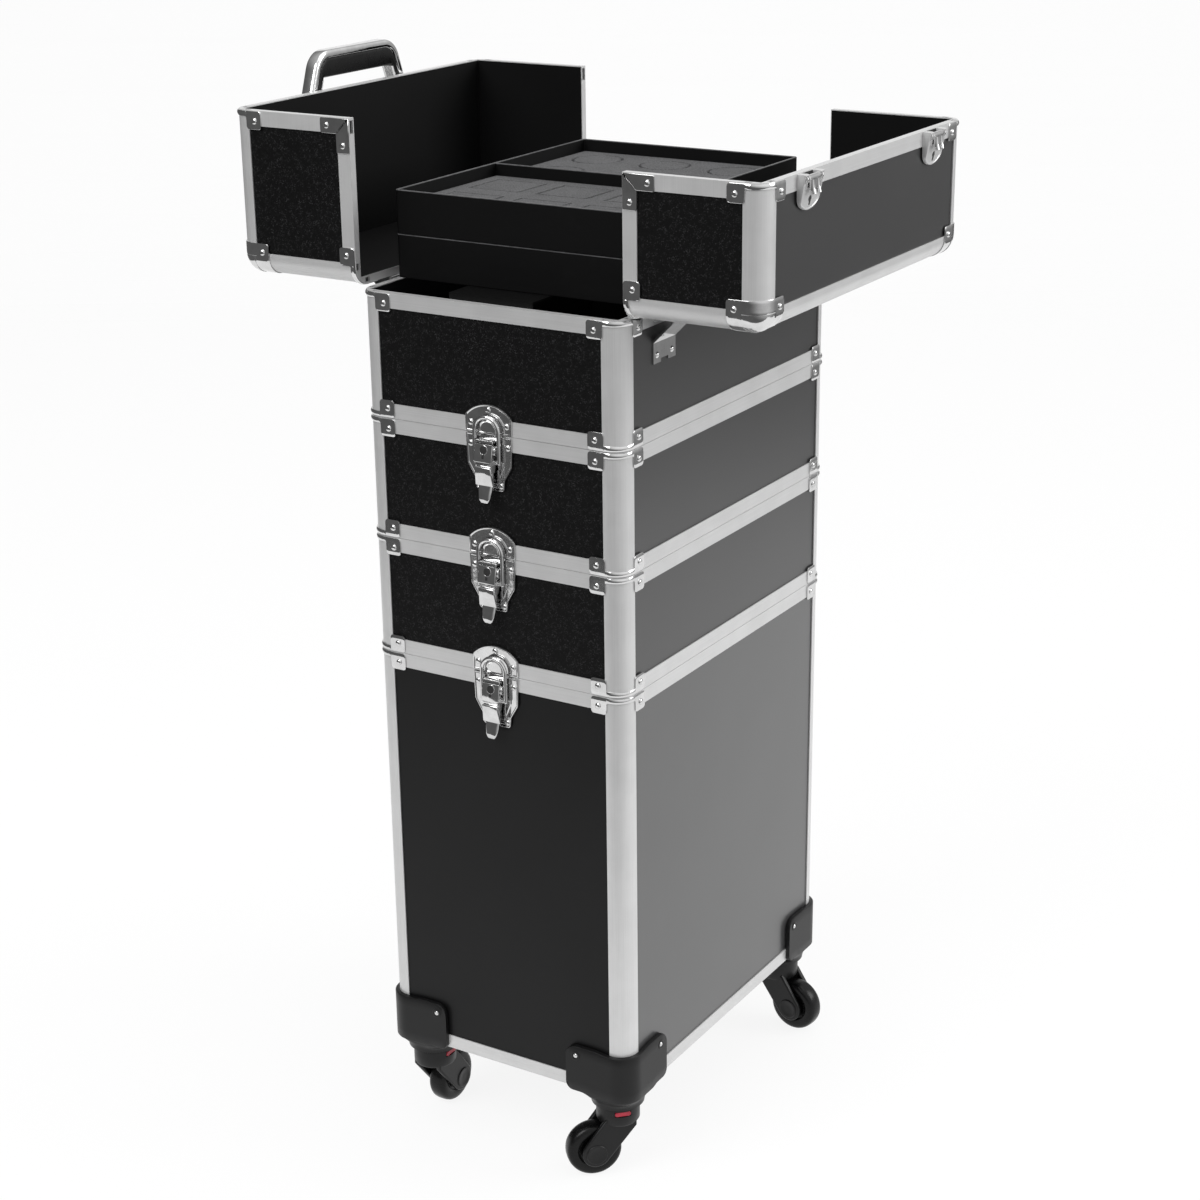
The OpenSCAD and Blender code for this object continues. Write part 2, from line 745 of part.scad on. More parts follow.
module lid_panels(w) {
    split_x = half_w - w;
    in_x = split_x + panel_edge;
    panel_l = case_d - 2 * panel_end;
    less_caps() {
        // top
        translate([in_x, -panel_l / 2, lid_top - panel_in - panel_t])
            cube([w - panel_edge - panel_end, panel_l, panel_t]);
        // outer long side
        translate([half_w - panel_in - panel_t, -panel_l / 2, lid_z + panel_edge])
            cube([panel_t, panel_l, lid_h - panel_edge - panel_end]);
        // ends
        mirror_y() translate([in_x, half_l - panel_in - panel_t, lid_z + panel_edge])
            cube([w - panel_edge - panel_end, panel_t, lid_h - panel_edge - panel_end]);
    }
}

// Post along X between the lid's top and its end, from the ball corner to the split
module lid_end_post(w) {
    length = w - post_leg - joint_gap;
    translate([half_w - post_leg - joint_gap, half_l, lid_top]) rotate([0, -90, 0]) post(length);
}

module lid_frame(w) {
    split_x = half_w - w;
    drop = lid_h - post_leg - joint_gap;
    reach = w - post_leg - joint_gap;
    mirror_y() {
        translate([half_w, half_l, lid_z]) post(drop);
        lid_end_post(w);
        // end's hinge edge, from the split to the outer post
        translate([split_x + rail_h + joint_gap, half_l, lid_z]) rail(reach - rail_h - joint_gap);
        // end's split edge, from the hinge edge to the top post
        translate([split_x, half_l, lid_z + drop]) rotate([0, 90, 0]) rail(drop);
    }
    // post along Y between the lid's top and its outer side
    translate([half_w, half_l - post_leg - joint_gap, lid_top]) rotate([90, 0, 0])
        post(case_d - 2 * post_leg - 2 * joint_gap);
    // outer side's hinge edge
    translate([half_w, rail_y / 2, lid_z]) rotate([0, 0, -90]) rail(rail_y);
    // top's split edge
    translate([split_x, -rail_y / 2, lid_top]) rotate([0, 90, 0]) rotate([0, 0, 90]) rail(rail_y);
}

// A ball corner at the origin: an eighth of a ball where three posts meet, and a shell along each post
module ball_corner() {
    far = 2 * cap_reach;
    difference() {
        union() {
            translate([-post_r, -post_r, -post_r]) rotate_extrude(angle = 90) intersection() {
                circle(post_r + bracket_t);
                square(post_r + bracket_t);
            }
            cap_arm();
            rotate([0, -90, 0]) mirror([0, 0, 1]) cap_arm();
            rotate([90, 0, 0]) mirror([0, 0, 1]) cap_arm();
        }
        translate([-far - frame_t, -far - frame_t, -far - frame_t]) cube(far);
    }
}

module cap_profile() {
    translate([bracket_t, bracket_t]) round_corner(post_leg + bracket_t, post_r + bracket_t);
}

// Arm of a ball corner that runs down from the origin: solid to the post's end, then a sheet over the post
module cap_arm() {
    translate([0, 0, -post_leg]) linear_extrude(post_leg - post_r) cap_profile();
    translate([0, 0, -cap_reach]) linear_extrude(cap_reach - post_leg + tiny) difference() {
        cap_profile();
        round_corner(post_leg + 2 * bracket_t, post_r);
    }
}

// A flat two-legged bracket on the plane y = 0, in the corner between +X and +Z
module flat_bracket() {
    translate([bracket_in, bracket_t, bracket_in]) rotate([90, 0, 0]) linear_extrude(bracket_t) {
        round_plate(flat_leg, rail_h, ear_r / 2);
        round_plate(rail_h, flat_leg, ear_r / 2);
    }
    wall_rivet(bracket_in + flat_leg - rail_h / 2, bracket_t, bracket_in + rail_h / 2);
    wall_rivet(bracket_in + rail_h / 2, bracket_t, bracket_in + flat_leg - rail_h / 2);
}

module lid_brackets(w) {
    mirror_y() {
        // round the split end of the top post
        translate([half_w - w, half_l, lid_top]) rotate([0, -90, 0]) mirror([0, 0, 1]) corner_bracket();
        // round the hinge end of the outer post
        translate([half_w, half_l, lid_z]) corner_bracket();
        translate([half_w, half_l, lid_top]) ball_corner();
        translate([half_w - w, half_l, lid_z]) flat_bracket();
    }
}

// Plate of a lid latch beside the split, with ears for the flap's pin; the split edge is at x = 0
module lid_latch_base() {
    ear_y = lid_latch_w / 2 - 4;
    pivot_x = flap_up;
    difference() {
        union() {
            linear_extrude(leaf_t) intersection() {
                union() {
                    translate([0, -lid_latch_w / 2]) square([lid_latch_l - lid_latch_w / 2, lid_latch_w]);
                    translate([lid_latch_l - lid_latch_w / 2, 0]) circle(lid_latch_w / 2);
                }
                translate([split_gap, -lid_latch_w]) square([lid_latch_l, 2 * lid_latch_w]);
            }
            for (y = [-ear_y - leaf_t, ear_y]) translate([0, y + leaf_t, 0]) rotate([90, 0, 0])
                linear_extrude(leaf_t) {
                    translate([pivot_x, flap_up]) circle(3.4);
                    translate([pivot_x - 3.4, tiny]) square([6.8, flap_up - tiny]);
                }
        }
        translate([pivot_x, -lid_latch_w, flap_up]) rotate([-90, 0, 0])
            cylinder(r = latch_pin_r + seat_clear, h = 2 * lid_latch_w);
        translate([lid_latch_l - 6, 0, -1]) cylinder(r = 1.6, h = leaf_t + 2);
    }
    translate([pivot_x, -ear_y - leaf_t, flap_up]) rotate([-90, 0, 0])
        cylinder(r = latch_pin_r, h = 2 * (ear_y + leaf_t));
}

// Flap of a lid latch: a barrel on the pin, a plate and two raised loops
module lid_latch_flap() {
    half = lid_latch_w / 2 - 4 - ear_gap;
    pivot_x = flap_up;
    loop_in = flap_l * 0.4;
    color(nickel) difference() {
        union() {
            translate([pivot_x, -half, flap_up]) rotate([-90, 0, 0]) cylinder(r = 2.9, h = 2 * half);
            translate([pivot_x, -half, flap_up]) cube([flap_l, 2 * half, 2]);
            for (y = [-half / 2, half / 2]) translate([pivot_x + loop_in, y, flap_up + 2]) rotate([0, 90, 0])
                cylinder(r = half / 3, h = flap_l - loop_in);
        }
        translate([pivot_x, -half - 1, flap_up]) rotate([-90, 0, 0])
            cylinder(r = latch_pin_r + run_clear, h = 2 * half + 2);
    }
}

// Strike on the left lid that the flap closes over; the split edge is at x = 0
module lid_latch_strike() {
    translate([split_gap, -lid_latch_w / 2 + 6, 0]) cube([flap_l - 1, lid_latch_w - 12, leaf_t]);
    both_y(lid_latch_w / 8) translate([flap_l * 0.7, 0, leaf_t]) rivet();
}

module left_lid_panels() { color(board) on_lid(-1) lid_panels(left_lid_w); }
module left_lid_frame() { color(satin) on_lid(-1) lid_frame(left_lid_w); }
module left_lid_hardware() {
    color(nickel) on_lid(-1) {
        lid_brackets(left_lid_w);
        both_y(lid_latch_y) translate([half_w - left_lid_w, 0, lid_top]) lid_latch_strike();
    }
}
module right_lid_panels() { color(board) on_lid(1) lid_panels(right_lid_w); }
module right_lid_frame() { color(satin) on_lid(1) lid_frame(right_lid_w); }
module right_lid_hardware() {
    color(nickel) on_lid(1) {
        lid_brackets(right_lid_w);
        both_y(lid_latch_y) translate([half_w - right_lid_w, 0, lid_top]) lid_latch_base();
    }
}
module front_lid_latch_flap() {
    on_lid(1) translate([half_w - right_lid_w, -lid_latch_y, lid_top]) lid_latch_flap();
}
module rear_lid_latch_flap() {
    on_lid(1) translate([half_w - right_lid_w, lid_latch_y, lid_top]) lid_latch_flap();
}

// Handle on the left lid, in the mirrored closed place: pivots at x = 0, bar on the -X side, z = 0 on the lid

handle_mid_r = handle_bend - handle_leg / 2;
bend_x = handle_reach - handle_bend;
leg_drop = bend_x + handle_mid_r * sin(handle_flare);
bend_y = handle_span / 2 - handle_mid_r * cos(handle_flare) - leg_drop * tan(handle_flare);
leg_len = leg_drop / cos(handle_flare);

// Outline of one side of the handle at a radius of the bend, from the bar's middle to the pivot
function handle_side(r) = concat(
    [for (a = [90:-5:handle_flare]) [bend_y + r * cos(a), bend_x + r * sin(a)]],
    [[bend_y + r * cos(handle_flare) + leg_len * sin(handle_flare),
      bend_x + r * sin(handle_flare) - leg_len * cos(handle_flare)]]
);
function flip(points) = [for (i = [len(points) - 1:-1:0]) [-points[i][0], points[i][1]]];

// Flat outline of the bar, bends and legs
module handle_strip() {
    outer = handle_side(handle_bend);
    inner = handle_side(handle_bend - handle_leg);
    polygon(concat(flip(outer), outer, [for (i = [len(inner) - 1:-1:0]) inner[i]], [for (p = inner) [-p[0], p[1]]]));
}

module at_handle() {
    on_lid(-1) translate([half_w - left_lid_w + handle_set, 0, lid_top]) children();
}

// Straight block under the bar, between the bends
module grip_block(thick, clear) {
    length = 2 * (bend_y - clear);
    translate([handle_band + clear - handle_reach, -length / 2, handle_mid - thick / 2])
        cube([grip_band, length, thick]);
}

eye_half = 9.5;
foot_gap = 0.5;
foot_ear = 3;

module handle_bail() {
    color(nickel) at_handle() difference() {
        union() {
            translate([0, 0, handle_mid - handle_t / 2]) linear_extrude(handle_t)
                rotate([0, 0, 90]) handle_strip();
            both_y(handle_span / 2) translate([0, -eye_half, handle_up])
                rotate([-90, 0, 0]) cylinder(r = handle_pin_r + 3, h = 2 * eye_half);
        }
        translate([0, -handle_span, handle_up]) rotate([-90, 0, 0])
            cylinder(r = handle_pin_r + run_clear, h = 2 * handle_span);
        grip_block(handle_t + 2, 0);
    }
}

module handle_grip() { color(plastic) at_handle() grip_block(grip_t, joint_gap); }

module handle_feet() {
    ear_in = eye_half + foot_gap;
    foot_half = ear_in + foot_ear + 3;
    foot_l = 2 * (handle_pin_r + 8);
    color(nickel) at_handle() both_y(handle_span / 2) {
        difference() {
            union() {
                translate([-foot_l / 2, -foot_half, -panel_in])
                    linear_extrude(panel_in + 1.2) round_plate(foot_l, 2 * foot_half, 3);
                for (y = [-ear_in - foot_ear, ear_in]) translate([0, y + foot_ear, 0]) rotate([90, 0, 0])
                    linear_extrude(foot_ear) {
                        translate([0, handle_up]) circle(handle_pin_r + 3);
                        translate([-handle_pin_r - 3, tiny]) square([2 * handle_pin_r + 6, handle_up]);
                    }
            }
            translate([0, -foot_half - 1, handle_up]) rotate([-90, 0, 0])
                cylinder(r = handle_pin_r + seat_clear, h = 2 * foot_half + 2);
        }
        translate([0, -ear_in - foot_ear, handle_up]) rotate([-90, 0, 0])
            cylinder(r = handle_pin_r, h = 2 * (ear_in + foot_ear));
    }
}

// Trays

module tray_box(z) {
    translate([-tray_w / 2, -tray_l / 2, z]) cube([tray_w, tray_l, tray_h]);
}

module lower_tray() {
    color(plastic) difference() {
        tray_box(tray_z);
        translate([-tray_w / 2 + tray_t, -tray_l / 2 + tray_t, tray_z + tray_t])
            cube([tray_w - 2 * tray_t, tray_l - 2 * tray_t, tray_h]);
    }
}

// The two compartments of the upper tray, front and rear, shrunk by a clearance
module compartments(clear, height) {
    w = tray_w - 2 * tray_t - 2 * clear;
    l = (tray_l - 3 * tray_t) / 2 - 2 * clear;
    for (y = [-tray_l / 2 + tray_t, tray_t / 2])
        translate([-w / 2, y + clear, upper_tray_z + tray_t]) cube([w, l, height]);
}

module upper_tray() {
    color(plastic) difference() {
        tray_box(upper_tray_z);
        compartments(0, tray_h);
    }
}

module tray_foam() { color(foam_grey) compartments(foam_clear, foam_t); }

// Angle at each end of the top case that the trays stand on, riveted to the end panel
module tray_support() {
    flange_out = -frame_t - 0.4;
    wall_in = -panel_in - panel_t;
    ledge_top = tray_z - tray_gap;
    ledge_l = half_l + flange_out - tray_l / 2 + support_reach;
    hole_z = rim_z - support_d + 8;
    union() {
        translate([-support_w / 2, flange_out - support_t, rim_z - support_d])
            cube([support_w, support_t, ledge_top - rim_z + support_d]);
        translate([-support_w / 2, flange_out - ledge_l, ledge_top - support_t]) cube([support_w, ledge_l, support_t]);
        for (x = [-support_w / 3, support_w / 3]) translate([x, flange_out - tiny, hole_z])
            rotate([-90, 0, 0]) cylinder(r = 5, h = wall_in - flange_out + tiny);
    }
    for (x = [-support_w / 3, support_w / 3])
        translate([x, flange_out - support_t, hole_z]) rotate([90, 0, 0]) rivet();
}

module tray_supports() { color(plastic) at_ends() tray_support(); }

// Casters

module housing_ear() {
    ear_low = base_z - wrap_t;
    start = post_r + 2;
    translate([-wrap_l, wrap_t, ear_low]) rotate([90, 0, 0]) linear_extrude(wrap_t)
        round_plate(wrap_l - start + 10, wrap_h + wrap_t, 8);
}

// Housing at a corner: ears on both faces, a wall round the post and a neck below for the stem
module caster_housing() {
    ear_low = base_z - wrap_t;
    outer_r = post_r + wrap_t;
    hole_r = housing_rivet_r + 0.3;
    inner = frame_t + joint_gap;
    wall_l = post_r + 4;
    difference() {
        union() {
            // wall round the post
            translate([0, 0, ear_low]) linear_extrude(wrap_mid_h + wrap_t) difference() {
                translate([wrap_t, wrap_t]) round_corner(wall_l + wrap_t, outer_r);
                round_corner(wall_l + 1, post_r);
            }
            housing_ear();
            mirror([1, -1, 0]) housing_ear();
            // plate under the case, and its pad in the notch of the base board
            translate([wrap_t, wrap_t, ear_low]) linear_extrude(wrap_t)
                round_corner(plate_corner + wrap_t - joint_gap, outer_r);
            translate([-plate_corner + joint_gap, -plate_corner + joint_gap, base_z - tiny])
                cube([plate_corner - joint_gap - inner, plate_corner - joint_gap - inner, floor_t]);
            // neck
            translate([-swivel_in, -swivel_in, 0]) rotate_extrude() polygon([
                [0, neck_z], [neck_r - 3, neck_z], [neck_r - 1, neck_z + 1.5], [neck_r, neck_z + 5],
                [neck_r, ear_low + tiny], [0, ear_low + tiny]
            ]);
        }
        translate([-swivel_in, -swivel_in, neck_z - 1]) cylinder(r = stem_r + run_clear, h = stem_top - neck_z + 1.5);
        translate([-housing_rivet_in, -1, housing_rivet_z]) rotate([-90, 0, 0]) cylinder(r = hole_r, h = wrap_t + 2);
        translate([-1, -housing_rivet_in, housing_rivet_z]) rotate([0, 90, 0]) cylinder(r = hole_r, h = wrap_t + 2);
    }
}

module caster_housings() { color(plastic) at_corners() caster_housing(); }

// Puts a caster piece on its swivel axis and turns its trail
module at_caster(sx, sy, turn) {
    translate([sx * swivel_x, sy * swivel_y, 0]) rotate([0, 0, turn]) children();
}

// Fork with its trail along +X: a collar with the stem, and two cheeks that hold the axle
module fork() {
    cheek_top = collar_z + 6;
    color(plastic) {
        difference() {
            union() {
                translate([0, 0, collar_z]) cylinder(r = collar_r, h = fork_top - collar_z);
                translate([0, 0, fork_top - tiny]) cylinder(r = stem_r, h = stem_top - fork_top);
                for (y = [cheek_in + cheek_t, -cheek_in]) translate([0, y, 0]) rotate([90, 0, 0])
                    linear_extrude(cheek_t) {
                        translate([trail, wheel_r]) circle(cheek_r);
                        polygon([
                            [-collar_r * 0.7, cheek_top], [-collar_r * 0.7, collar_z - 2],
                            [trail - cheek_r * 0.86, wheel_r - cheek_r * 0.5], [trail, wheel_r],
                            [trail + cheek_r, wheel_r], [collar_r * 0.75, cheek_top]
                        ]);
                    }
            }
            translate([trail, 1.5 * collar_r, wheel_r]) rotate([90, 0, 0])
                cylinder(r = axle_r + seat_clear, h = 3 * collar_r);
            translate([-release_w / 2 - release_clear, -collar_r - 1, release_z - release_clear])
                cube([release_w + 2 * release_clear, 2 * collar_r + 2, release_h + 2 * release_clear]);
        }
        // axle with a cap on each cheek
        translate([trail, 0, wheel_r]) rotate([90, 0, 0]) {
            cylinder(r = axle_r, h = 2 * (cheek_in + cheek_t), center = true);
            for (flip_z = [0, 1]) mirror([0, 0, flip_z]) translate([0, 0, cheek_in + cheek_t - tiny])
                cylinder(r = axle_cap_r, h = 1);
        }
    }
}

// Wheel: a hub with its bore and a rounded tyre
module wheel() {
    edge = 5;
    half = wheel_w / 2;
    color(plastic) translate([trail, 0, wheel_r]) rotate([90, 0, 0]) {
        rotate_extrude() translate([axle_r + run_clear, -half + 1])
            square([hub_r - axle_r - run_clear, wheel_w - 2]);
        rotate_extrude() {
            translate([hub_r, -half]) square([wheel_r - edge - hub_r, wheel_w]);
            translate([wheel_r - edge - tiny, -half + edge]) square([edge + tiny, wheel_w - 2 * edge]);
            for (z = [-half + edge, half - edge]) translate([wheel_r - edge, z]) circle(edge);
        }
    }
}

// Red bar through the collar that frees the stem
module release_bar() {
    length = 2 * sqrt(collar_r * collar_r - release_w * release_w / 4) - 0.6;
    color(red) translate([-release_w / 2, -length / 2, release_z]) cube([release_w, length, release_h]);
}

module front_left_fork() { at_caster(-1, -1, front_left_turn) fork(); }
module front_left_wheel() { at_caster(-1, -1, front_left_turn) wheel(); }
module front_left_release() { at_caster(-1, -1, front_left_turn) release_bar(); }
module front_right_fork() { at_caster(1, -1, front_right_turn) fork(); }
module front_right_wheel() { at_caster(1, -1, front_right_turn) wheel(); }
module front_right_release() { at_caster(1, -1, front_right_turn) release_bar(); }
module rear_left_fork() { at_caster(-1, 1, rear_left_turn) fork(); }
module rear_left_wheel() { at_caster(-1, 1, rear_left_turn) wheel(); }
module rear_left_release() { at_caster(-1, 1, rear_left_turn) release_bar(); }
module rear_right_fork() { at_caster(1, 1, rear_right_turn) fork(); }
module rear_right_wheel() { at_caster(1, 1, rear_right_turn) wheel(); }
module rear_right_release() { at_caster(1, 1, rear_right_turn) release_bar(); }

bottom_case_panels();
bottom_case_base();
bottom_case_frame();
bottom_case_brackets();
bottom_latch_bases();
caster_housings();
lower_tier_panels();
lower_tier_frame();
lower_tier_brackets();
lower_tier_latch_plates();
upper_tier_panels();
upper_tier_frame();
upper_tier_brackets();
upper_tier_latch_plates();
top_case_panels();
top_case_frame();
top_case_brackets();
top_case_latch_keepers();
lid_hinge_box_leaves();
tray_supports();
left_lid_panels();
left_lid_frame();
left_lid_hardware();
left_hinge_leaves();
handle_feet();
right_lid_panels();
right_lid_frame();
right_lid_hardware();
right_hinge_leaves();
handle_bail();
handle_grip();
front_lid_latch_flap();
rear_lid_latch_flap();
lower_tray();
upper_tray();
tray_foam();
front_lower_latch_lever();
front_middle_latch_lever();
front_upper_latch_lever();
rear_lower_latch_lever();
rear_middle_latch_lever();
rear_upper_latch_lever();
front_lower_latch_bail();
front_middle_latch_bail();
front_upper_latch_bail();
rear_lower_latch_bail();
rear_middle_latch_bail();
rear_upper_latch_bail();
front_left_fork();
front_left_wheel();
front_left_release();
front_right_fork();
front_right_wheel();
front_right_release();
rear_left_fork();
rear_left_wheel();
rear_left_release();
rear_right_fork();
rear_right_wheel();
rear_right_release();
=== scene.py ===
"""Looks of a rolling makeup case, built round its packed frame.

The boards, the aluminium posts and rails, the hinges and the wire bails keep their CAD meshes and get
procedural finishes. Brackets, latches, handle, trays, foam, linings and casters are surfaces worked out
with numpy. Shapes are computed in millimetres in the frame's own axes: X across the narrow front,
Y from front to back, Z up from the floor.
"""

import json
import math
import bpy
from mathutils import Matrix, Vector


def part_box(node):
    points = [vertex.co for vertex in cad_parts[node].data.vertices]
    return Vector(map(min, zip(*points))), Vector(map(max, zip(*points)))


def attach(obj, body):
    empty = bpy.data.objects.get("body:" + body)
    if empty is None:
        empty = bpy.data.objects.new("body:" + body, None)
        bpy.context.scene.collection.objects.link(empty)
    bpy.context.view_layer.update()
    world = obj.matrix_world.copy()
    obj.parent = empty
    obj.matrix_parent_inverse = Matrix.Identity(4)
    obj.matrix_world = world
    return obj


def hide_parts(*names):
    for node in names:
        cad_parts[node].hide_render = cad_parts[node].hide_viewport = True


bl_info = {
    "name": "Rolling makeup case",
    "version": (1, 0, 0),
    "blender": (4, 5, 0),
    "location": "3D View > Sidebar > Makeup case",
    "description": "Builds the looks of a rolling makeup case round its packed frame",
    "category": "Add Mesh",
}

from collections import namedtuple

import bmesh
import bpy
import numpy as np
from bpy.props import FloatProperty, FloatVectorProperty, PointerProperty
from mathutils import Matrix, Vector

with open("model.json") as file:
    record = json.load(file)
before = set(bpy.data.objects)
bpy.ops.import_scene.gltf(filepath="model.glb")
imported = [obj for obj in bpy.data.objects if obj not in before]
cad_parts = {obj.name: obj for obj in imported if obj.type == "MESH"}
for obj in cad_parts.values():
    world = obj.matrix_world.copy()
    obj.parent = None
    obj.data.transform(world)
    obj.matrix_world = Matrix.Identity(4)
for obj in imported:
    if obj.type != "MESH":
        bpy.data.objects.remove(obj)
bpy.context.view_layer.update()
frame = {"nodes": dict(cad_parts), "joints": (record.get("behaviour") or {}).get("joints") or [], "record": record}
MM = 0.001


# Places that the frame gives, in millimetres

def side(node, axis, high):
    """One side of a CAD node's box."""
    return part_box(node)[1 if high else 0][axis] / MM


def joint_place(name):
    """A joint's point on its axis."""
    joint = next(j for j in frame["joints"] if j["name"] == name)
    return np.array(joint["pos_m"]) / MM


HALF_W = side("bottom_case_frame", 0, True)
HALF_L = side("bottom_case_frame", 1, True)
PANEL_EDGE = 2.1  # from a section's edge to its panel's edge
PANEL_IN = 1.1  # from a frame's outer face to the panel's face
FRAME_T = 6.4  # thickness of posts and rails
POST_R = 16.0  # outer radius of a post
POST_LEG = 18.3  # width of a post on each face
RAIL_H = 12.5  # height of a rail
SECTIONS = {  # lower and upper edge of each
    name: (side(name + "_panels", 2, False) - PANEL_EDGE, side(name + "_panels", 2, True) + PANEL_EDGE)
    for name in ("bottom_case", "lower_tier", "upper_tier", "top_case")
}
BASE_Z = SECTIONS["bottom_case"][0]
RIM_Z = SECTIONS["top_case"][1]
AXIS_X, _, AXIS_Z = joint_place("right_lid_hinge")
LID_Z = 2 * AXIS_Z - RIM_Z  # lower edge of a closed lid
LID_TOP = side("right_lid_frame", 0, True) - AXIS_X + AXIS_Z  # top of a closed lid
LIDS = {"left": -1, "right": 1}  # way out along X
# Inner edge of each lid when closed, drawn as on the right
SPLIT_X = {lid: AXIS_Z + AXIS_X - side(lid + "_lid_frame", 2, True) for lid in LIDS}
SPLITS = ("lower", "middle", "upper")  # the splits between the sections, with a latch on each end
LATCH_Y = {"front": -113.0, "rear": 113.0}  # middle of each lid latch along the lids
LEVER_PIVOT = (6.5, -12.0)  # of a stack latch, from the wall and from the split
CORNERS = [(sx, sy) for sx in (-1, 1) for sy in (-1, 1)]
CASTERS = {"front_left": 90, "front_right": 225, "rear_left": 145, "rear_right": -8}  # heading of each, in degrees
SWIVEL_IN = HALF_W - joint_place("front_right_swivel")[0]
RELEASE_HALF = 7.2  # half width of a caster's release bar
LARGE_FACE = 60.0  # square millimetres over which a plate's face is shaded flat
BOARD_END = HALF_L - 6.0  # boards further out than this stand on a narrow end

# Photograph's viewpoint: turn, height and roll in degrees, place in metres, shift in frame widths
VIEW_TURN, VIEW_HEIGHT, VIEW_ROLL = 31.763, 20.872, -0.79
VIEW_PLACE, VIEW_SHIFT = (1.0553, -1.7272, 1.2018), (0.0044, 0.0387)
SENSOR = 36.0  # width of the frame in millimetres
# Lamps: place and size in metres, by the name of the property that holds the power
LAMPS = {"key": ((-0.7, -2.4, 2.6), 1.8), "fill": ((2.5, 1.3, 1.8), 1.5), "top": ((0.2, 0.2, 3.0), 2.2)}
LAMP_AIM = Vector((0.0, 0.0, 0.5))


# Sizes and colours that a user may change

def length(name, description, millimetres):
    """A length as a property, its default given in millimetres."""
    return FloatProperty(name=name, description=description, default=millimetres * MM, min=0.0,
                         unit="LENGTH", subtype="DISTANCE", precision=4)


def colour(name, description, value):
    """A colour as a property."""
    return FloatVectorProperty(name=name, description=description, default=value, size=3,
                               min=0.0, max=1.0, subtype="COLOR")


class CaseHardwareSizes(bpy.types.PropertyGroup):
    """Sizes of the riveted corner hardware and the latches."""
    ear_w: length("Ear width", "Length of a bracket's ear along the rail", 15.3)
    ear_h: length("Ear height", "Height of a bracket's ear", 15.0)
    ear_r: length("Ear radius", "Corner radius of an ear", 2.5)
    band_h: length("Band height", "Height of the band round a post", 4.5)
    sheet_t: length("Sheet", "Thickness of the bracket sheet", 1.0)
    edge_in: length("Edge distance", "Distance of a bracket from the rim", 0.5)
    flat_leg: length("Flat leg", "Leg of the flat bracket at a lid's open corner", 28.0)
    cap_h: length("Cap height", "Height of a ball corner's band along its post", 26.5)
    rivet_r: length("Rivet radius", "Radius of a rivet head", 2.7)
    plate_half: length("Latch half width", "Half width of a stack latch's plates", 22.5)
    keeper_h: length("Keeper height", "Height of the keeper plate above the split", 25.0)
    base_l: length("Base length", "Length of the latch base below the split", 47.0)
    lever_half: length("Lever half width", "Half width of the latch lever", 8.0)
    lever_tip: length("Lever tip", "Distance of the lever's tip below the split", 56.0)


class CaseHandleSizes(bpy.types.PropertyGroup):
    """Sizes of the carrying handle."""
    span: length("Span", "Distance between the handle's pivots", 144.0)
    reach: length("Reach", "Distance from the pivots to the far face of the bar", 64.0)
    bend: length("Bend", "Outer radius of the bends", 22.0)
    leg: length("Leg", "Width of the legs", 13.0)
    band: length("Band", "Width of the metal band", 7.5)
    deep: length("Depth", "Depth of the bar with its grip", 23.0)
    thick: length("Thickness", "Thickness of the metal band", 13.0)
    flare: FloatProperty(name="Flare", description="Flare of the handle's legs", default=math.radians(20),
                         unit="ROTATION", subtype="ANGLE")


class CaseTraySizes(bpy.types.PropertyGroup):
    """Sizes of the trays, the foam and the linings."""
    wall: length("Wall", "Wall and floor of a tray", 2.0)
    corner: length("Corner", "Corner radius of a tray", 3.0)
    cut_w: length("Cut width", "Width of a die cut in the foam", 1.3)
    cut_d: length("Cut depth", "Depth of a die cut in the foam", 5.0)
    lining_t: length("Lining", "Thickness of the lining sheet", 0.3)


class CaseCasterSizes(bpy.types.PropertyGroup):
    """Sizes of the casters."""
    wheel_r: length("Wheel radius", "Radius of a wheel", 25.0)
    wheel_w: length("Wheel width", "Width of a wheel", 18.0)
    trail: length("Trail", "Offset of a wheel behind its swivel axis", 23.0)
    collar_r: length("Collar radius", "Radius of the fork's collar", 19.5)
    wrap_t: length("Housing wall", "Wall of the housing round the corner", 4.0)
    wrap_l: length("Housing ear", "Length of a housing's ear from the corner", 61.0)
    wrap_h: length("Housing height", "Height of a housing's ears above the case's lower edge", 43.0)


class CaseColours(bpy.types.PropertyGroup):
    """Colours of the finishes."""
    board_end: colour("End boards", "Pebbled laminate on the narrow ends", (0.002, 0.002, 0.0021))
    board_side: colour("Side boards", "Satin laminate on the long sides", (0.018, 0.018, 0.0183))
    aluminium: colour("Aluminium", "Satin anodised posts and rails", (0.60, 0.60, 0.60))
    plate: colour("Bright plate", "Nickel plated hardware", (0.66, 0.66, 0.66))
    lining: colour("Lining", "Black lining sheet", (0.002, 0.002, 0.0021))
    tray: colour("Trays", "Black board trays", (0.0015, 0.0015, 0.0016))
    foam: colour("Foam", "Die-cut foam", (0.088, 0.088, 0.09))
    plastic: colour("Moulded plastic", "Housings and forks", (0.004, 0.004, 0.0042))
    wheel: colour("Wheels", "Hard plastic of the wheels and the grip", (0.003, 0.003, 0.0031))
    release: colour("Release bars", "Red release bars", (0.36, 0.010, 0.03))


def power(name, description, watts):
    """A lamp's power as a property."""
    return FloatProperty(name=name, description=description, default=watts, unit="POWER")


class CaseStage(bpy.types.PropertyGroup):
    """Floor, light and camera."""
    floor: colour("Floor", "Pale floor", (0.86, 0.86, 0.86))
    key: power("Key light", "Power of the soft light in front", 60.0)
    fill: power("Fill light", "Power of the soft light on the right", 40.0)
    top: power("Top light", "Power of the soft light above", 14.0)
    lens: length("Lens", "Focal length on a 36 mm frame", 71.8)


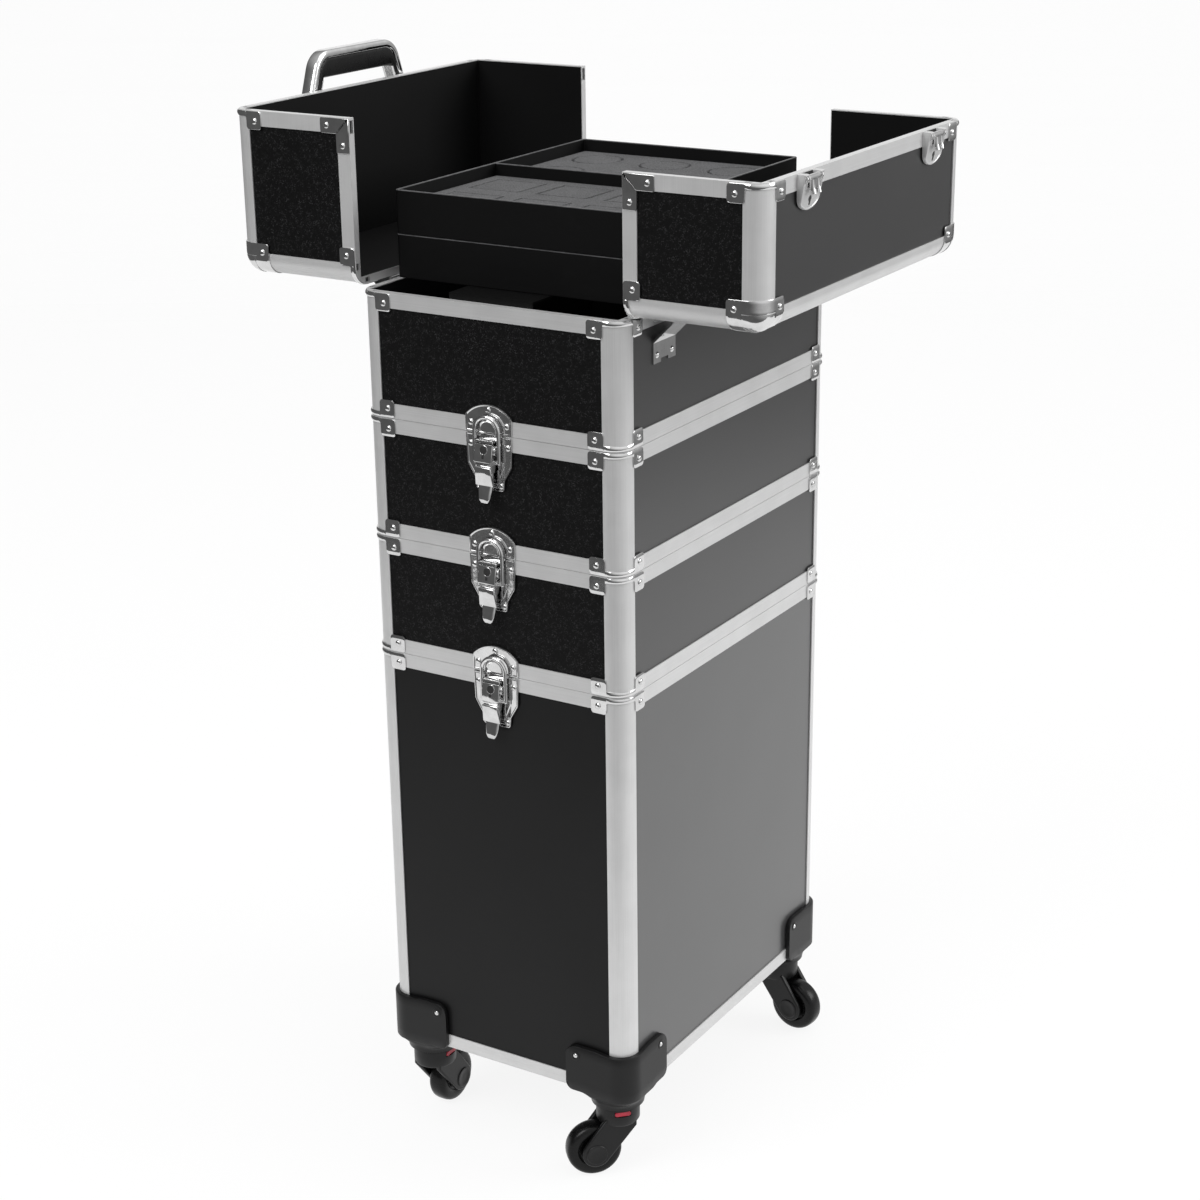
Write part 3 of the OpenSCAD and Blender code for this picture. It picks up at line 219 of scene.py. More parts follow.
def sizes(group):
    """The lengths of a property group in millimetres, by name; other values as they are."""
    values = {}
    for name, prop in group.bl_rna.properties.items():
        if getattr(prop, "unit", "") == "LENGTH":
            values[name] = getattr(group, name) / MM
        elif name not in ("rna_type", "name"):
            values[name] = getattr(group, name)
    return namedtuple("Sizes", values)(**values)


# Surfaces

Part = namedtuple("Part", "points corners counts")


def skin(rings, loop=False):
    """Surface through a stack of rings: point j of a ring joins point j of the next, and the ends are capped.
    With loop the last ring joins the first and there are no caps."""
    rings = np.asarray(rings, float)
    k, n = rings.shape[:2]
    i = np.arange(k if loop else k - 1)[:, None]
    j = np.arange(n)[None, :]
    after = (i + 1) % k
    quads = np.stack([i * n + j, i * n + (j + 1) % n, after * n + (j + 1) % n, after * n + j], -1).reshape(-1)
    counts = np.full(len(quads) // 4, 4)
    if not loop:
        quads = np.concatenate([quads, np.arange(n)[::-1], np.arange((k - 1) * n, k * n)])
        counts = np.concatenate([counts, [n, n]])
    return Part(rings.reshape(-1, 3), quads, counts)


def moved(part, place):
    """A part with its points carried by a function of an array of points."""
    return Part(place(part.points), part.corners, part.counts)


def repeated(part, spots):
    """Copies of a part, one at each spot: every point plus every spot."""
    spots = np.asarray(spots, float).reshape(-1, 3)
    n = len(part.points)
    points = (part.points[None] + spots[:, None]).reshape(-1, 3)
    corners = (part.corners[None] + n * np.arange(len(spots))[:, None]).reshape(-1)
    return Part(points, corners, np.tile(part.counts, len(spots)))


def arc(centre, r, start, end, n):
    """Points on a circle: centre plus radius times cosine and sine of angles in degrees."""
    a = np.radians(np.linspace(start, end, n))
    return np.stack([centre[0] + r * np.cos(a), centre[1] + r * np.sin(a)], 1)


def rounded(corners, radii, n=6):
    """Closed outline with each corner of a polygon replaced by an arc that touches both its sides:
    the arc starts radius times tan(turn / 2) before the corner and turns through the corner's angle."""
    p = np.asarray(corners, float)
    r = np.broadcast_to(np.asarray(radii, float), len(p))[:, None]
    before = p - np.roll(p, 1, 0)
    after = np.roll(p, -1, 0) - p
    before = before / np.linalg.norm(before, axis=1, keepdims=True)
    after = after / np.linalg.norm(after, axis=1, keepdims=True)
    turn = np.arctan2(before[:, 0] * after[:, 1] - before[:, 1] * after[:, 0], (before * after).sum(1))[:, None]
    start = p - before * r * np.tan(np.abs(turn) / 2)
    left = np.stack([-before[:, 1], before[:, 0]], 1)
    centre = start + left * r * np.sign(turn)
    spoke = start - centre
    a = turn * np.linspace(0, 1, n)[None]
    x = centre[:, :1] + spoke[:, :1] * np.cos(a) - spoke[:, 1:] * np.sin(a)
    y = centre[:, 1:] + spoke[:, :1] * np.sin(a) + spoke[:, 1:] * np.cos(a)
    return np.stack([x, y], -1).reshape(-1, 2)


def rectangle(x0, y0, x1, y1, r, n=6):
    """Rectangle with round corners."""
    return rounded([(x0, y0), (x1, y0), (x1, y1), (x0, y1)], r, n)


def inset(outline, distance):
    """Outline moved inwards: each point goes along the mean of its two sides' inward normals."""
    step = np.roll(outline, -1, 0) - outline
    length_ = np.linalg.norm(step, axis=1, keepdims=True)
    step = step / np.where(length_ > 1e-9, length_, 1.0)
    normal = np.stack([-step[:, 1], step[:, 0]], 1)
    last = np.roll(normal, 1, 0)
    return outline + distance * (normal + last) / np.maximum(1 + (normal * last).sum(1, keepdims=True), 0.3)


def slab(outline, edge):
    """Plate: its outline carried up an edge profile, whose pairs are distance inwards and height."""
    return skin([np.column_stack([inset(outline, d), np.full(len(outline), h)]) for d, h in edge])


def plain_edge(t, r=0.4, z=0.0):
    """Edge profile of a plate with a rounded upper edge."""
    return [(0, z), (0, z + t - r), (0.3 * r, z + t - 0.3 * r), (r, z + t), (r + 0.3, z + t)]


def soft_edge(t, r, z=0.0):
    """Edge profile with both edges rounded."""
    a = np.radians(np.linspace(0, 90, 5))
    low = [(r * (1 - math.sin(b)), z + r * (1 - math.cos(b))) for b in a]
    high = [(r * (1 - math.cos(b)), z + t - r * (1 - math.sin(b))) for b in a]
    return [(r + 0.4, z)] + low + high + [(r + 0.4, z + t)]


def pressed_edge(t, rim, z=0.0):
    """Edge profile of a plate with a raised, rolled border."""
    return [(0, z), (0, z + t), (0.3, z + t + 0.8 * rim), (0.7, z + t + rim), (1.3, z + t + 0.8 * rim),
            (1.9, z + t), (2.3, z + t)]


def turned(profile, n=24):
    """Solid of revolution about Z: rings of the profile's radius at its height, capped at both ends."""
    profile = np.asarray(profile, float)
    a = np.linspace(0, 2 * math.pi, n, endpoint=False)
    x = profile[:, :1] * np.cos(a)
    y = profile[:, :1] * np.sin(a)
    return skin(np.stack([x, y, np.broadcast_to(profile[:, 1:], x.shape)], -1))


def turned_ring(profile, n=48):
    """Ring of revolution about Z: a closed profile of radius and height carried round the axis."""
    profile = np.asarray(profile, float)
    a = np.linspace(0, 2 * math.pi, n, endpoint=False)[:, None]
    r, z = profile[:, 0][None], profile[:, 1][None]
    return skin(np.stack([r * np.cos(a), r * np.sin(a), np.broadcast_to(z, (n, len(profile)))], -1), loop=True)


def rivet_head(r, n=10):
    """Low domed head on z = 0: a circular crown over a short straight side."""
    return turned([(r, 0), (r, 0.12 * r), (0.86 * r, 0.34 * r), (0.56 * r, 0.48 * r), (0.2 * r, 0.52 * r)], n)


# Section of a ribbon: share of the way across, slip in millimetres, share of the thickness
ACROSS = np.array([(0, 0, 0), (0, 0, 0.55), (0, 0.12, 0.88), (0, 0.4, 1), (0.2, 0.25, 1), (0.5, 0, 1),
                   (0.8, -0.25, 1), (1, -0.4, 1), (1, -0.12, 0.88), (1, 0, 0.55), (1, 0, 0)])


def ribbon(path, out, low, high, thick, swell=0.0, up=(0, 0, 1), soft=1.0):
    """Sheet that lies on a path: across it, from low to high along up, runs a flat section with rounded edges
    that stands out by its thickness, plus a half-sine swell. soft widens the rounding."""
    low, high, swell = (np.broadcast_to(np.asarray(v, float), len(path))[:, None] for v in (low, high, swell))
    share, slip, rise = ACROSS.T
    t = low + share * (high - low) + soft * slip
    h = thick * rise + swell * np.sin(math.pi * share)
    return skin(path[:, None] + out[:, None] * h[..., None] + np.asarray(up, float) * t[..., None])


def post_path(flats, r, steps=9):
    """Path round a post in plan: in along one face, round the arc of its corner, and out along the other.
    flats are the distances from the corner at which the faces are sampled, outermost first."""
    flats = np.asarray(flats, float)
    a = np.radians(np.linspace(90, 0, steps))[1:-1]
    zero = np.zeros_like(flats)
    x = np.concatenate([-flats, -r + r * np.cos(a), zero])
    y = np.concatenate([zero, -r + r * np.sin(a), -flats[::-1]])
    nx = np.concatenate([zero, np.cos(a), zero + 1])
    ny = np.concatenate([zero + 1, np.sin(a), zero])
    none = np.zeros_like(x)
    return np.stack([x, y, none], 1), np.stack([nx, ny, none], 1)


def both_ways(values, middle, steps=9):
    """A value along post_path: given on one face, held on the arc, and mirrored on the other face."""
    values = np.asarray(values, float)
    return np.concatenate([values, np.full(steps - 2, middle), values[::-1]])


def swept(path, profile, across, loop=False):
    """Profile carried along a flat path: its first number runs along the path's left normal, its second along
    the fixed direction across."""
    path = np.asarray(path, float)
    ahead = np.roll(path, -1, 0) - np.roll(path, 1, 0) if loop else np.gradient(path, axis=0)
    ahead = ahead / np.linalg.norm(ahead, axis=1, keepdims=True)
    across = np.asarray(across, float)
    normal = np.cross(across, ahead)
    profile = np.asarray(profile, float)
    rings = path[:, None] + normal[:, None] * profile[None, :, :1] + across * profile[None, :, 1:]
    return skin(rings, loop)


def wall_round(outline, profile, loop=True):
    """Wall along an outline in plan: a profile of the way in and the height, carried along it."""
    return swept(np.column_stack([outline, np.zeros(len(outline))]), profile, (0, 0, 1), loop)


# Places for local shapes

def shift(x, y, z):
    """A move by a distance along each axis."""
    return lambda p: p + np.array([x, y, z], float)


def stood(part, x=0.0, y=0.0, z=0.0):
    """A part drawn flat, stood on a wall, so that its height becomes the way out along Y, and then shifted."""
    return moved(part, lambda p: p[:, [0, 2, 1]] + np.array([x, y, z], float))


def at_corner(sx, sy, z, up=1):
    """From a corner at the origin, with the case on its minus side, to a corner of the case."""
    return lambda p: np.stack([sx * (HALF_W + p[:, 0]), sy * (HALF_L + p[:, 1]), z + up * p[:, 2]], 1)


def at_end(front, z):
    """From a wall at the origin with outward as +Y to the front or the rear end."""
    turn = -1 if front else 1
    return lambda p: np.stack([turn * p[:, 0], turn * (HALF_L + p[:, 1]), z + p[:, 2]], 1)


def on_lid(lid):
    """From the closed right-hand lid's place to a lid that stands open: a quarter turn about the hinge axis."""
    sign = LIDS[lid]
    return lambda p: np.stack([sign * (AXIS_X + p[:, 2] - AXIS_Z), p[:, 1], AXIS_Z + AXIS_X - p[:, 0]], 1)


def at_caster(corner):
    """From a swivel axis with the trail along +X to a caster, by a turn about Z."""
    x, y, _ = joint_place(corner + "_swivel")
    a = math.radians(CASTERS[corner])
    turn = np.array([[math.cos(a), math.sin(a), 0], [-math.sin(a), math.cos(a), 0], [0, 0, 1]])
    return lambda p: p @ turn + np.array([x, y, 0.0])


def mirrored_y(p):
    """The other end's copy."""
    return p * np.array([1.0, -1.0, 1.0])


def swapped_xy(p):
    """The copy on the other face of a corner."""
    return p[:, [1, 0, 2]]


def swapped_xz(p):
    """The copy turned from upright to level."""
    return p[:, [2, 1, 0]]


def piece(name, parts, body, finishes, stands_for=(), sharp=38.0, flat=1e6):
    """One mesh object from parts, each alone or with the number of its finish, that rides on a body of the frame.
    Edges that turn by more than sharp degrees stay hard, and faces over flat square millimetres are shaded flat."""
    parts = [p if isinstance(p[0], Part) else (p, 0) for p in parts]
    ends = np.cumsum([0] + [len(p.points) for p, _ in parts])
    points = np.concatenate([p.points for p, _ in parts]) * MM
    corners = np.concatenate([p.corners + e for (p, _), e in zip(parts, ends)]).astype(np.int32)
    counts = np.concatenate([p.counts for p, _ in parts])
    numbers = np.concatenate([np.full(len(p.counts), n) for p, n in parts]).astype(np.int32)
    mesh = bpy.data.meshes.new(name)
    mesh.vertices.add(len(points))
    mesh.vertices.foreach_set("co", points.astype(np.float32).ravel())
    mesh.loops.add(len(corners))
    mesh.loops.foreach_set("vertex_index", corners)
    mesh.polygons.add(len(counts))
    mesh.polygons.foreach_set("loop_start", np.concatenate([[0], np.cumsum(counts)[:-1]]).astype(np.int32))
    mesh.polygons.foreach_set("material_index", numbers)
    mesh.update(calc_edges=True)
    mesh.validate()
    shape = bmesh.new()
    shape.from_mesh(mesh)
    bmesh.ops.recalc_face_normals(shape, faces=shape.faces)
    shape.to_mesh(mesh)
    shape.free()
    areas = np.empty(len(mesh.polygons), np.float32)
    mesh.polygons.foreach_get("area", areas)
    mesh.polygons.foreach_set("use_smooth", areas < flat * MM * MM)
    mesh.set_sharp_from_angle(angle=math.radians(sharp))
    for look in finishes:
        mesh.materials.append(look)
    obj = bpy.data.objects.new(name, mesh)
    bpy.context.scene.collection.objects.link(obj)
    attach(obj, body)
    if stands_for:
        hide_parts(*stands_for)
    return obj


# Finishes

class Value:
    """An output socket that takes part in sums: each operator adds a Math node."""

    def __init__(self, tree, socket):
        self.tree, self.socket = tree, socket

    def other(self, output):
        """Another output of the same node."""
        return Value(self.tree, self.socket.node.outputs[output])

    def math(self, operation, *others):
        """A Math node on this value and others."""
        return self.tree.add("ShaderNodeMath", {"operation": operation}, dict(enumerate((self, *others))))

    def __add__(self, other):
        return self.math("ADD", other)

    __radd__ = __add__

    def __mul__(self, other):
        return self.math("MULTIPLY", other)

    __rmul__ = __mul__

    def __rsub__(self, other):
        return self * -1.0 + other

    def __abs__(self):
        return self.math("ABSOLUTE")

    def __gt__(self, limit):
        return self.math("GREATER_THAN", limit)

    def ramp(self, start, end):
        """0 up to start, 1 from end, smooth between."""
        return self.tree.add("ShaderNodeMapRange", {"interpolation_type": "SMOOTHSTEP"},
                             {"Value": self, "From Min": start, "From Max": end})


class Tree:
    """The node tree of a material or a world."""

    def __init__(self, owner):
        owner.use_nodes = True
        self.nodes, self.links = owner.node_tree.nodes, owner.node_tree.links

    def add(self, kind, settings=None, inputs=None, output=0):
        """A node with its settings, then the values or links of its sockets; gives one output."""
        node = self.nodes.new(kind)
        for key, value in (settings or {}).items():
            setattr(node, key, value)
        for key, value in (inputs or {}).items():
            self.join(node.inputs[key], value)
        return Value(self, node.outputs[output])

    def join(self, socket, value):
        """Links a value to a socket, or sets a number there."""
        if isinstance(value, Value):
            self.links.new(value.socket, socket)
        else:
            socket.default_value = value


class Finish(Tree):
    """A material with a main colour, which is given or is a colour property's name."""

    def __init__(self, name, rgb):
        self.rgb = colours()[rgb] if isinstance(rgb, str) else tuple(rgb)
        self.material = bpy.data.materials.new(name)
        super().__init__(self.material)
        self.material.diffuse_color = (*self.rgb, 1.0)
        self.shader = self.nodes["Principled BSDF"]
        self.place = self.add("ShaderNodeTexCoord", output="Object")

    def axes(self):
        """Object coordinates in millimetres, one value each."""
        split = self.add("ShaderNodeSeparateXYZ", {}, {0: self.place})
        return [split.other(i) * (1 / MM) for i in range(3)]

    def stretched(self, x, y, z):
        """Object coordinates scaled along each axis."""
        return self.add("ShaderNodeMapping", {}, {"Vector": self.place, "Scale": (x, y, z)})

    def noise(self, scale, detail=2.0, roughness=0.5, place=None):
        """Noise, 0 to 1."""
        return self.add("ShaderNodeTexNoise", {}, {"Vector": place or self.place, "Scale": scale,
                                                   "Detail": detail, "Roughness": roughness})

    def cells(self, scale, output="Distance"):
        """Distance to the middle of the nearest of many cells, or its colour."""
        return self.add("ShaderNodeTexVoronoi", {}, {"Vector": self.place, "Scale": scale}, output)

    def mix(self, share, low, high):
        """Colour between two colours."""
        low, high = (v if isinstance(v, Value) else (*v, 1.0) for v in (low, high))
        return self.add("ShaderNodeMix", {"data_type": "RGBA"}, {0: share, 6: low, 7: high}, 2)

    def shades(self, share, low, high, rgb=None):
        """Colour between two shades of the main colour, or of another."""
        return self.mix(share, dim(rgb or self.rgb, low), dim(rgb or self.rgb, high))

    def bump(self, height, distance, strength):
        """Normal of a surface with a height."""
        return self.add("ShaderNodeBump", {}, {"Height": height, "Distance": distance, "Strength": strength})

    def surface(self, **inputs):
        """Sets the shader's sockets; a socket's words are joined by underscores."""
        for key, value in inputs.items():
            name = key.replace("_", " ")
            if isinstance(value, tuple) and len(value) == 3:
                value = (*value, 1.0)
            self.join(self.shader.inputs[name], value)
        return self.material


def dim(rgb, share):
    """A share of a colour."""
    return tuple(min(1.0, c * share) for c in rgb)


def colours():
    """The colour properties by name."""
    group = bpy.context.scene.case_colours
    return {name: tuple(getattr(group, name)) for name in CaseColours.__annotations__}


def finish(name):
    """A finish by name, made once. No name is one of the frame's own materials."""
    found = bpy.data.materials.get(name)
    return found or FINISHES[name](name)


def drawn_aluminium(name):
    """Anodised aluminium: drawing lines along posts and rails, and a faint mottle."""
    f = Finish(name, "aluminium")
    x, y, _ = f.axes()
    post = (abs(x) > HALF_W - POST_LEG) * (abs(y) > HALF_L - POST_LEG)
    upright_lines = f.noise(1.0, 3.0, 0.6, f.stretched(2600, 2600, 14))
    level_lines = f.noise(1.0, 3.0, 0.6, f.stretched(14, 14, 2600))
    lines = post * upright_lines + (1 - post) * level_lines
    mottle = f.noise(38.0, 4.0)
    return f.surface(Base_Color=f.shades((lines * 0.6 + mottle * 0.4).ramp(0.3, 0.7), 0.93, 1.05), Metallic=0.45,
                     Roughness=0.34 + lines * 0.06 + mottle * 0.04, Normal=f.bump(lines, 0.00003, 0.35))


def case_board(name):
    """Laminated board: pebbled with fine painted glints on the narrow ends, satin with a soft mottle on the long
    sides.
    """
    f = Finish(name, "board_side")
    _, y, _ = f.axes()
    end = abs(y) > BOARD_END
    pebbles = f.cells(900.0)
    grain = f.noise(1500.0, 3.0, 0.6)
    pick = f.add("ShaderNodeSeparateColor", {}, {0: f.cells(1900.0, "Color")})
    # Painted glints: a few fine cells turned pale grey in the ends' colour stand in for the laminate's sparkle.
    painted_glint = pick.ramp(0.80, 0.92) * f.noise(300.0, 1.0).ramp(0.38, 0.6)
    cloud = f.noise(9.0, 3.0)
    side_tone = f.shades(cloud.ramp(0.25, 0.75), 0.9, 1.12)
    end_tone = f.shades(grain.ramp(0.3, 0.7), 0.6, 1.5, colours()["board_end"])
    end_tone = f.mix(painted_glint, end_tone, (0.03, 0.03, 0.031))
    height = end * (1 - pebbles) + (1 - end) * grain * 0.25
    return f.surface(Base_Color=f.mix(end, side_tone, end_tone), Coat_Weight=1 - end, Coat_Roughness=0.3,
                     Roughness=end * (0.45 + grain * 0.16) + (1 - end) * (0.36 + cloud * 0.08),
                     Normal=f.bump(height, 0.00012, 0.5), Specular_IOR_Level=0.14)


def plain_board(name):
    """Satin laminate with a soft mottle, darker on the narrow ends."""
    f = Finish(name, "board_side")
    _, y, _ = f.axes()
    end = abs(y) > BOARD_END
    cloud = f.noise(9.0, 3.0)
    grain = f.noise(1500.0, 3.0, 0.6)
    side_tone = f.shades(cloud.ramp(0.25, 0.75), 2.1, 2.5)
    end_tone = f.shades(cloud.ramp(0.25, 0.75), 2.0, 2.8, colours()["board_end"])
    return f.surface(Base_Color=f.mix(end, side_tone, end_tone), Coat_Weight=1 - end, Coat_Roughness=0.25,
                     Roughness=0.32 + cloud * 0.08 + grain * 0.03, Normal=f.bump(grain, 0.00003, 0.4),
                     Specular_IOR_Level=0.2)


def nickel_plate(name):
    """Nickel plate on pressed sheet: slight waviness and faint smears."""
    f = Finish(name, "plate")
    waves = f.noise(130.0, 2.0)
    smear = f.noise(60.0, 4.0, 0.6)
    return f.surface(Base_Color=f.shades(smear.ramp(0.3, 0.7), 0.9, 1.08), Metallic=1.0,
                     Roughness=0.06 + smear * 0.06, Normal=f.bump(waves, 0.0004, 0.2))


def black_lining(name):
    """Thin black sheet glued to the inside: a faint leather grain."""
    f = Finish(name, "lining")
    cloud = f.noise(7.0, 2.0)
    return f.surface(Base_Color=f.shades(cloud.ramp(0.3, 0.7), 0.8, 1.3), Roughness=0.50 + cloud * 0.16,
                     Normal=f.bump(f.cells(420.0), 0.00008, 0.3), Specular_IOR_Level=0.12)


def tray_board(name):
    """Black coated board of the trays: fine grain and slight scuffs."""
    f = Finish(name, "tray")
    grain = f.noise(900.0, 4.0, 0.65)
    scuff = f.noise(45.0, 5.0, 0.7)
    return f.surface(Base_Color=f.shades(scuff.ramp(0.55, 0.8), 1.0, 2.2), Roughness=0.45 + grain * 0.15,
                     Normal=f.bump(grain, 0.00006, 0.4), Specular_IOR_Level=0.15)


def tray_rim(name):
    """Rim of the tray board in a lighter grey: a painted highlight along the top edges, with a mottle."""
    f = Finish(name, (0.06, 0.06, 0.062))
    highlight_mottle = f.noise(160.0, 4.0, 0.6)
    return f.surface(Base_Color=f.shades(highlight_mottle.ramp(0.3, 0.7), 0.75, 1.35), Roughness=0.35 + highlight_mottle * 0.15)


def open_foam(name):
    """Open-cell foam: small dark pores, a soft mottle and no gloss."""
    f = Finish(name, "foam")
    pores = f.cells(780.0)
    fine = f.noise(1500.0, 3.0, 0.7)
    cloud = f.noise(55.0, 4.0)
    tone = f.shades((pores * 0.7 + fine * 0.5 + cloud * 0.3).ramp(0.35, 1.0), 0.55, 1.35)
    return f.surface(Base_Color=tone, Roughness=0.95, Normal=f.bump(pores + fine * 0.5, 0.0004, 0.6),
                     Specular_IOR_Level=0.15)


def moulded_plastic(name):
    """Moulded black plastic with a fine spark-eroded texture."""
    f = Finish(name, "plastic")
    texture = f.noise(1300.0, 3.0, 0.6)
    cloud = f.noise(30.0, 3.0)
    return f.surface(Base_Color=f.shades(cloud.ramp(0.3, 0.7), 0.85, 1.2),
                     Roughness=0.30 + cloud * 0.10 + texture * 0.05,
                     Normal=f.bump(texture, 0.00004, 0.4), Specular_IOR_Level=0.3)


def hard_plastic(name):
    """Hard glossy plastic with a little dust."""
    f = Finish(name, "wheel")
    dust = f.noise(90.0, 5.0, 0.65)
    return f.surface(Base_Color=f.shades(dust.ramp(0.5, 0.85), 1.0, 2.4), Roughness=0.16 + dust * 0.22,
                     Specular_IOR_Level=0.22)


def glossy_red(name):
    """Glossy red plastic."""
    f = Finish(name, "release")
    cloud = f.noise(120.0, 3.0)
    return f.surface(Base_Color=f.shades(cloud.ramp(0.3, 0.7), 0.85, 1.15), Roughness=0.28 + cloud * 0.1)


def black_paint(name):
    """Black paint on steel with slight orange peel."""
    f = Finish(name, (0.004, 0.004, 0.004))
    peel = f.noise(420.0, 2.0)
    return f.surface(Base_Color=f.shades(peel, 0.8, 1.2), Roughness=0.4 + peel * 0.1,
                     Normal=f.bump(peel, 0.0001, 0.3), Specular_IOR_Level=0.1)


def keyhole_black(name):
    """Painted shade: near black for the unlit inside of a keyhole and for the floor under a lid latch's flap."""
    f = Finish(name, (0.006, 0.006, 0.006))
    return f.surface(Base_Color=f.shades(f.noise(400.0, 3.0), 1.0, 2.0), Roughness=0.7)


FINISHES = {make.__name__: make for make in (
    drawn_aluminium, case_board, plain_board, nickel_plate, black_lining, tray_board, tray_rim, open_foam,
    moulded_plastic, hard_plastic, glossy_red, black_paint, keyhole_black)}


# Pieces

def corner_bracket(s):
    """Two-eared bracket round the end of a post whose edge is at z = 0: ears with round corners on both faces,
    joined by a half-round band on the arc, and a rivet in each ear."""
    far, near = POST_R + s.ear_w, POST_R + 0.6
    a = np.radians(np.linspace(0, 90, 5))
    flats = np.concatenate([far - s.ear_r * (1 - np.cos(a)), near + s.ear_r * (1 - np.sin(a)),
                            [near - 0.05, POST_R + 0.25, POST_R]])
    low = np.concatenate([s.ear_r * (1 - np.sin(a)), np.zeros(8)])
    high = np.concatenate([s.ear_h - s.ear_r * (1 - np.sin(a)), s.ear_h - s.ear_r * (1 - np.cos(a)),
                           [s.band_h + 1.6, s.band_h + 0.4, s.band_h]])
    swell = np.concatenate([np.zeros(11), [0.2, 0.4]])
    path, out = post_path(flats, POST_R)
    sheet = ribbon(path, out, both_ways(low, 0), both_ways(high, s.band_h), s.sheet_t, both_ways(swell, 0.6))
    head = stood(rivet_head(s.rivet_r), -POST_R - s.ear_w / 2 - 1, s.sheet_t, s.ear_h / 2 + 0.6)
    return [moved(p, shift(0, 0, s.edge_in)) for p in (sheet, head, moved(head, swapped_xy))]


def ball_corner(s):
    """Cap where three posts meet at the origin: an eighth of a hollow ball, a band with two ears up one post (-X),
    and a collar as long as the ears on the other two posts."""
    r0, r1, low_edge = POST_R - 0.6, POST_R + s.sheet_t - 0.1, POST_R - 0.5
    up = np.radians(np.linspace(0, 89.4, 9))[:, None]
    round_ = np.radians(np.linspace(0, 90, 9))[None]

    def shell(r):
        return np.stack([np.cos(up) * np.cos(round_), np.cos(up) * np.sin(round_),
                         np.sin(up) + 0 * round_], -1) * r - POST_R

    parts = [skin(np.concatenate([shell(r1), shell(r0)[:, ::-1]], 1))]
    far, near = POST_R + s.ear_w, POST_LEG + 0.2
    low_ear = s.cap_h - s.ear_h
    a = np.radians(np.linspace(0, 90, 5))
    flats = np.concatenate([far - s.ear_r * (1 - np.cos(a)), [near + 0.05, near, POST_R]])
    low = np.concatenate([low_ear + s.ear_r * (1 - np.sin(a)), [low_ear, low_edge, low_edge]])
    high = np.concatenate([s.cap_h - s.ear_r * (1 - np.sin(a)), np.full(3, s.cap_h)])
    path, out = post_path(flats, POST_R)
    band = ribbon(path, out, both_ways(low, low_edge), both_ways(high, s.cap_h), s.sheet_t, up=(0, 0, -1))
    collar_path, collar_out = post_path([POST_LEG, POST_R], POST_R)
    collar = ribbon(collar_path, collar_out, low_edge, far, s.sheet_t - 0.3, up=(0, 0, -1))
    head = stood(rivet_head(s.rivet_r), -POST_R - s.ear_w / 2 - 1, s.sheet_t, -s.cap_h + s.ear_h / 2)
    parts += [moved(p, swapped_xz) for p in (band, head, moved(head, swapped_xy))]
    return parts + [collar, stood(collar)]


def flat_bracket(s):
    """Mitred bracket on the plane y = 0 in the corner between +X and +Z: two strips that meet on the diagonal."""
    leg, wide = s.flat_leg, RAIL_H
    strip = rounded([(0.05, 0), (leg, 0), (leg, wide), (wide + 0.05, wide)], [0.2, 1.5, 1.5, 0.2], 4)
    level = stood(slab(strip, plain_edge(s.sheet_t, 0.35)))
    head = stood(rivet_head(s.rivet_r), leg - wide / 2, s.sheet_t, wide / 2)
    parts = [level, moved(level, swapped_xz), head, moved(head, swapped_xz)]
    return [moved(p, shift(s.edge_in, 0, s.edge_in)) for p in parts]


def keeper_plate(s):
    """Upper half of a stack latch: a domed plate with a rolled border, an arched keeper and three rivets."""
    half, gap, sheet = s.plate_half, 0.45, 0.9
    dome = half * 1.35
    reach = math.degrees(math.acos(half / dome))
    top = arc((0, s.keeper_h - dome), dome, reach, 180 - reach, 15)
    outline = np.concatenate([[(-half, gap), (half, gap)], top])
    keeper_r, keeper_top = 8.6, 12.4
    crown = arc((0, keeper_top - keeper_r), keeper_r, 0, 180, 13)
    arch = np.concatenate([[(-keeper_r, gap), (keeper_r, gap)], crown])
    parts = [slab(outline, pressed_edge(sheet, 0.7)), slab(arch, pressed_edge(3.0, 0.9))]
    x, y = half - 5.2, s.keeper_h / 3
    heads = repeated(rivet_head(s.rivet_r, 14), [(0, s.keeper_h - 4.9, sheet), (x, y, sheet), (-x, y, sheet)])
    return [stood(p) for p in parts + [heads]]


def lever_stack(rows):
    """Skin over rounded sections given as (height, half width, back, front, corner radius)."""
    return skin([np.column_stack([rectangle(-half, back, half, front, r, 5), np.full(20, z)])
                 for z, half, back, front, r in rows])


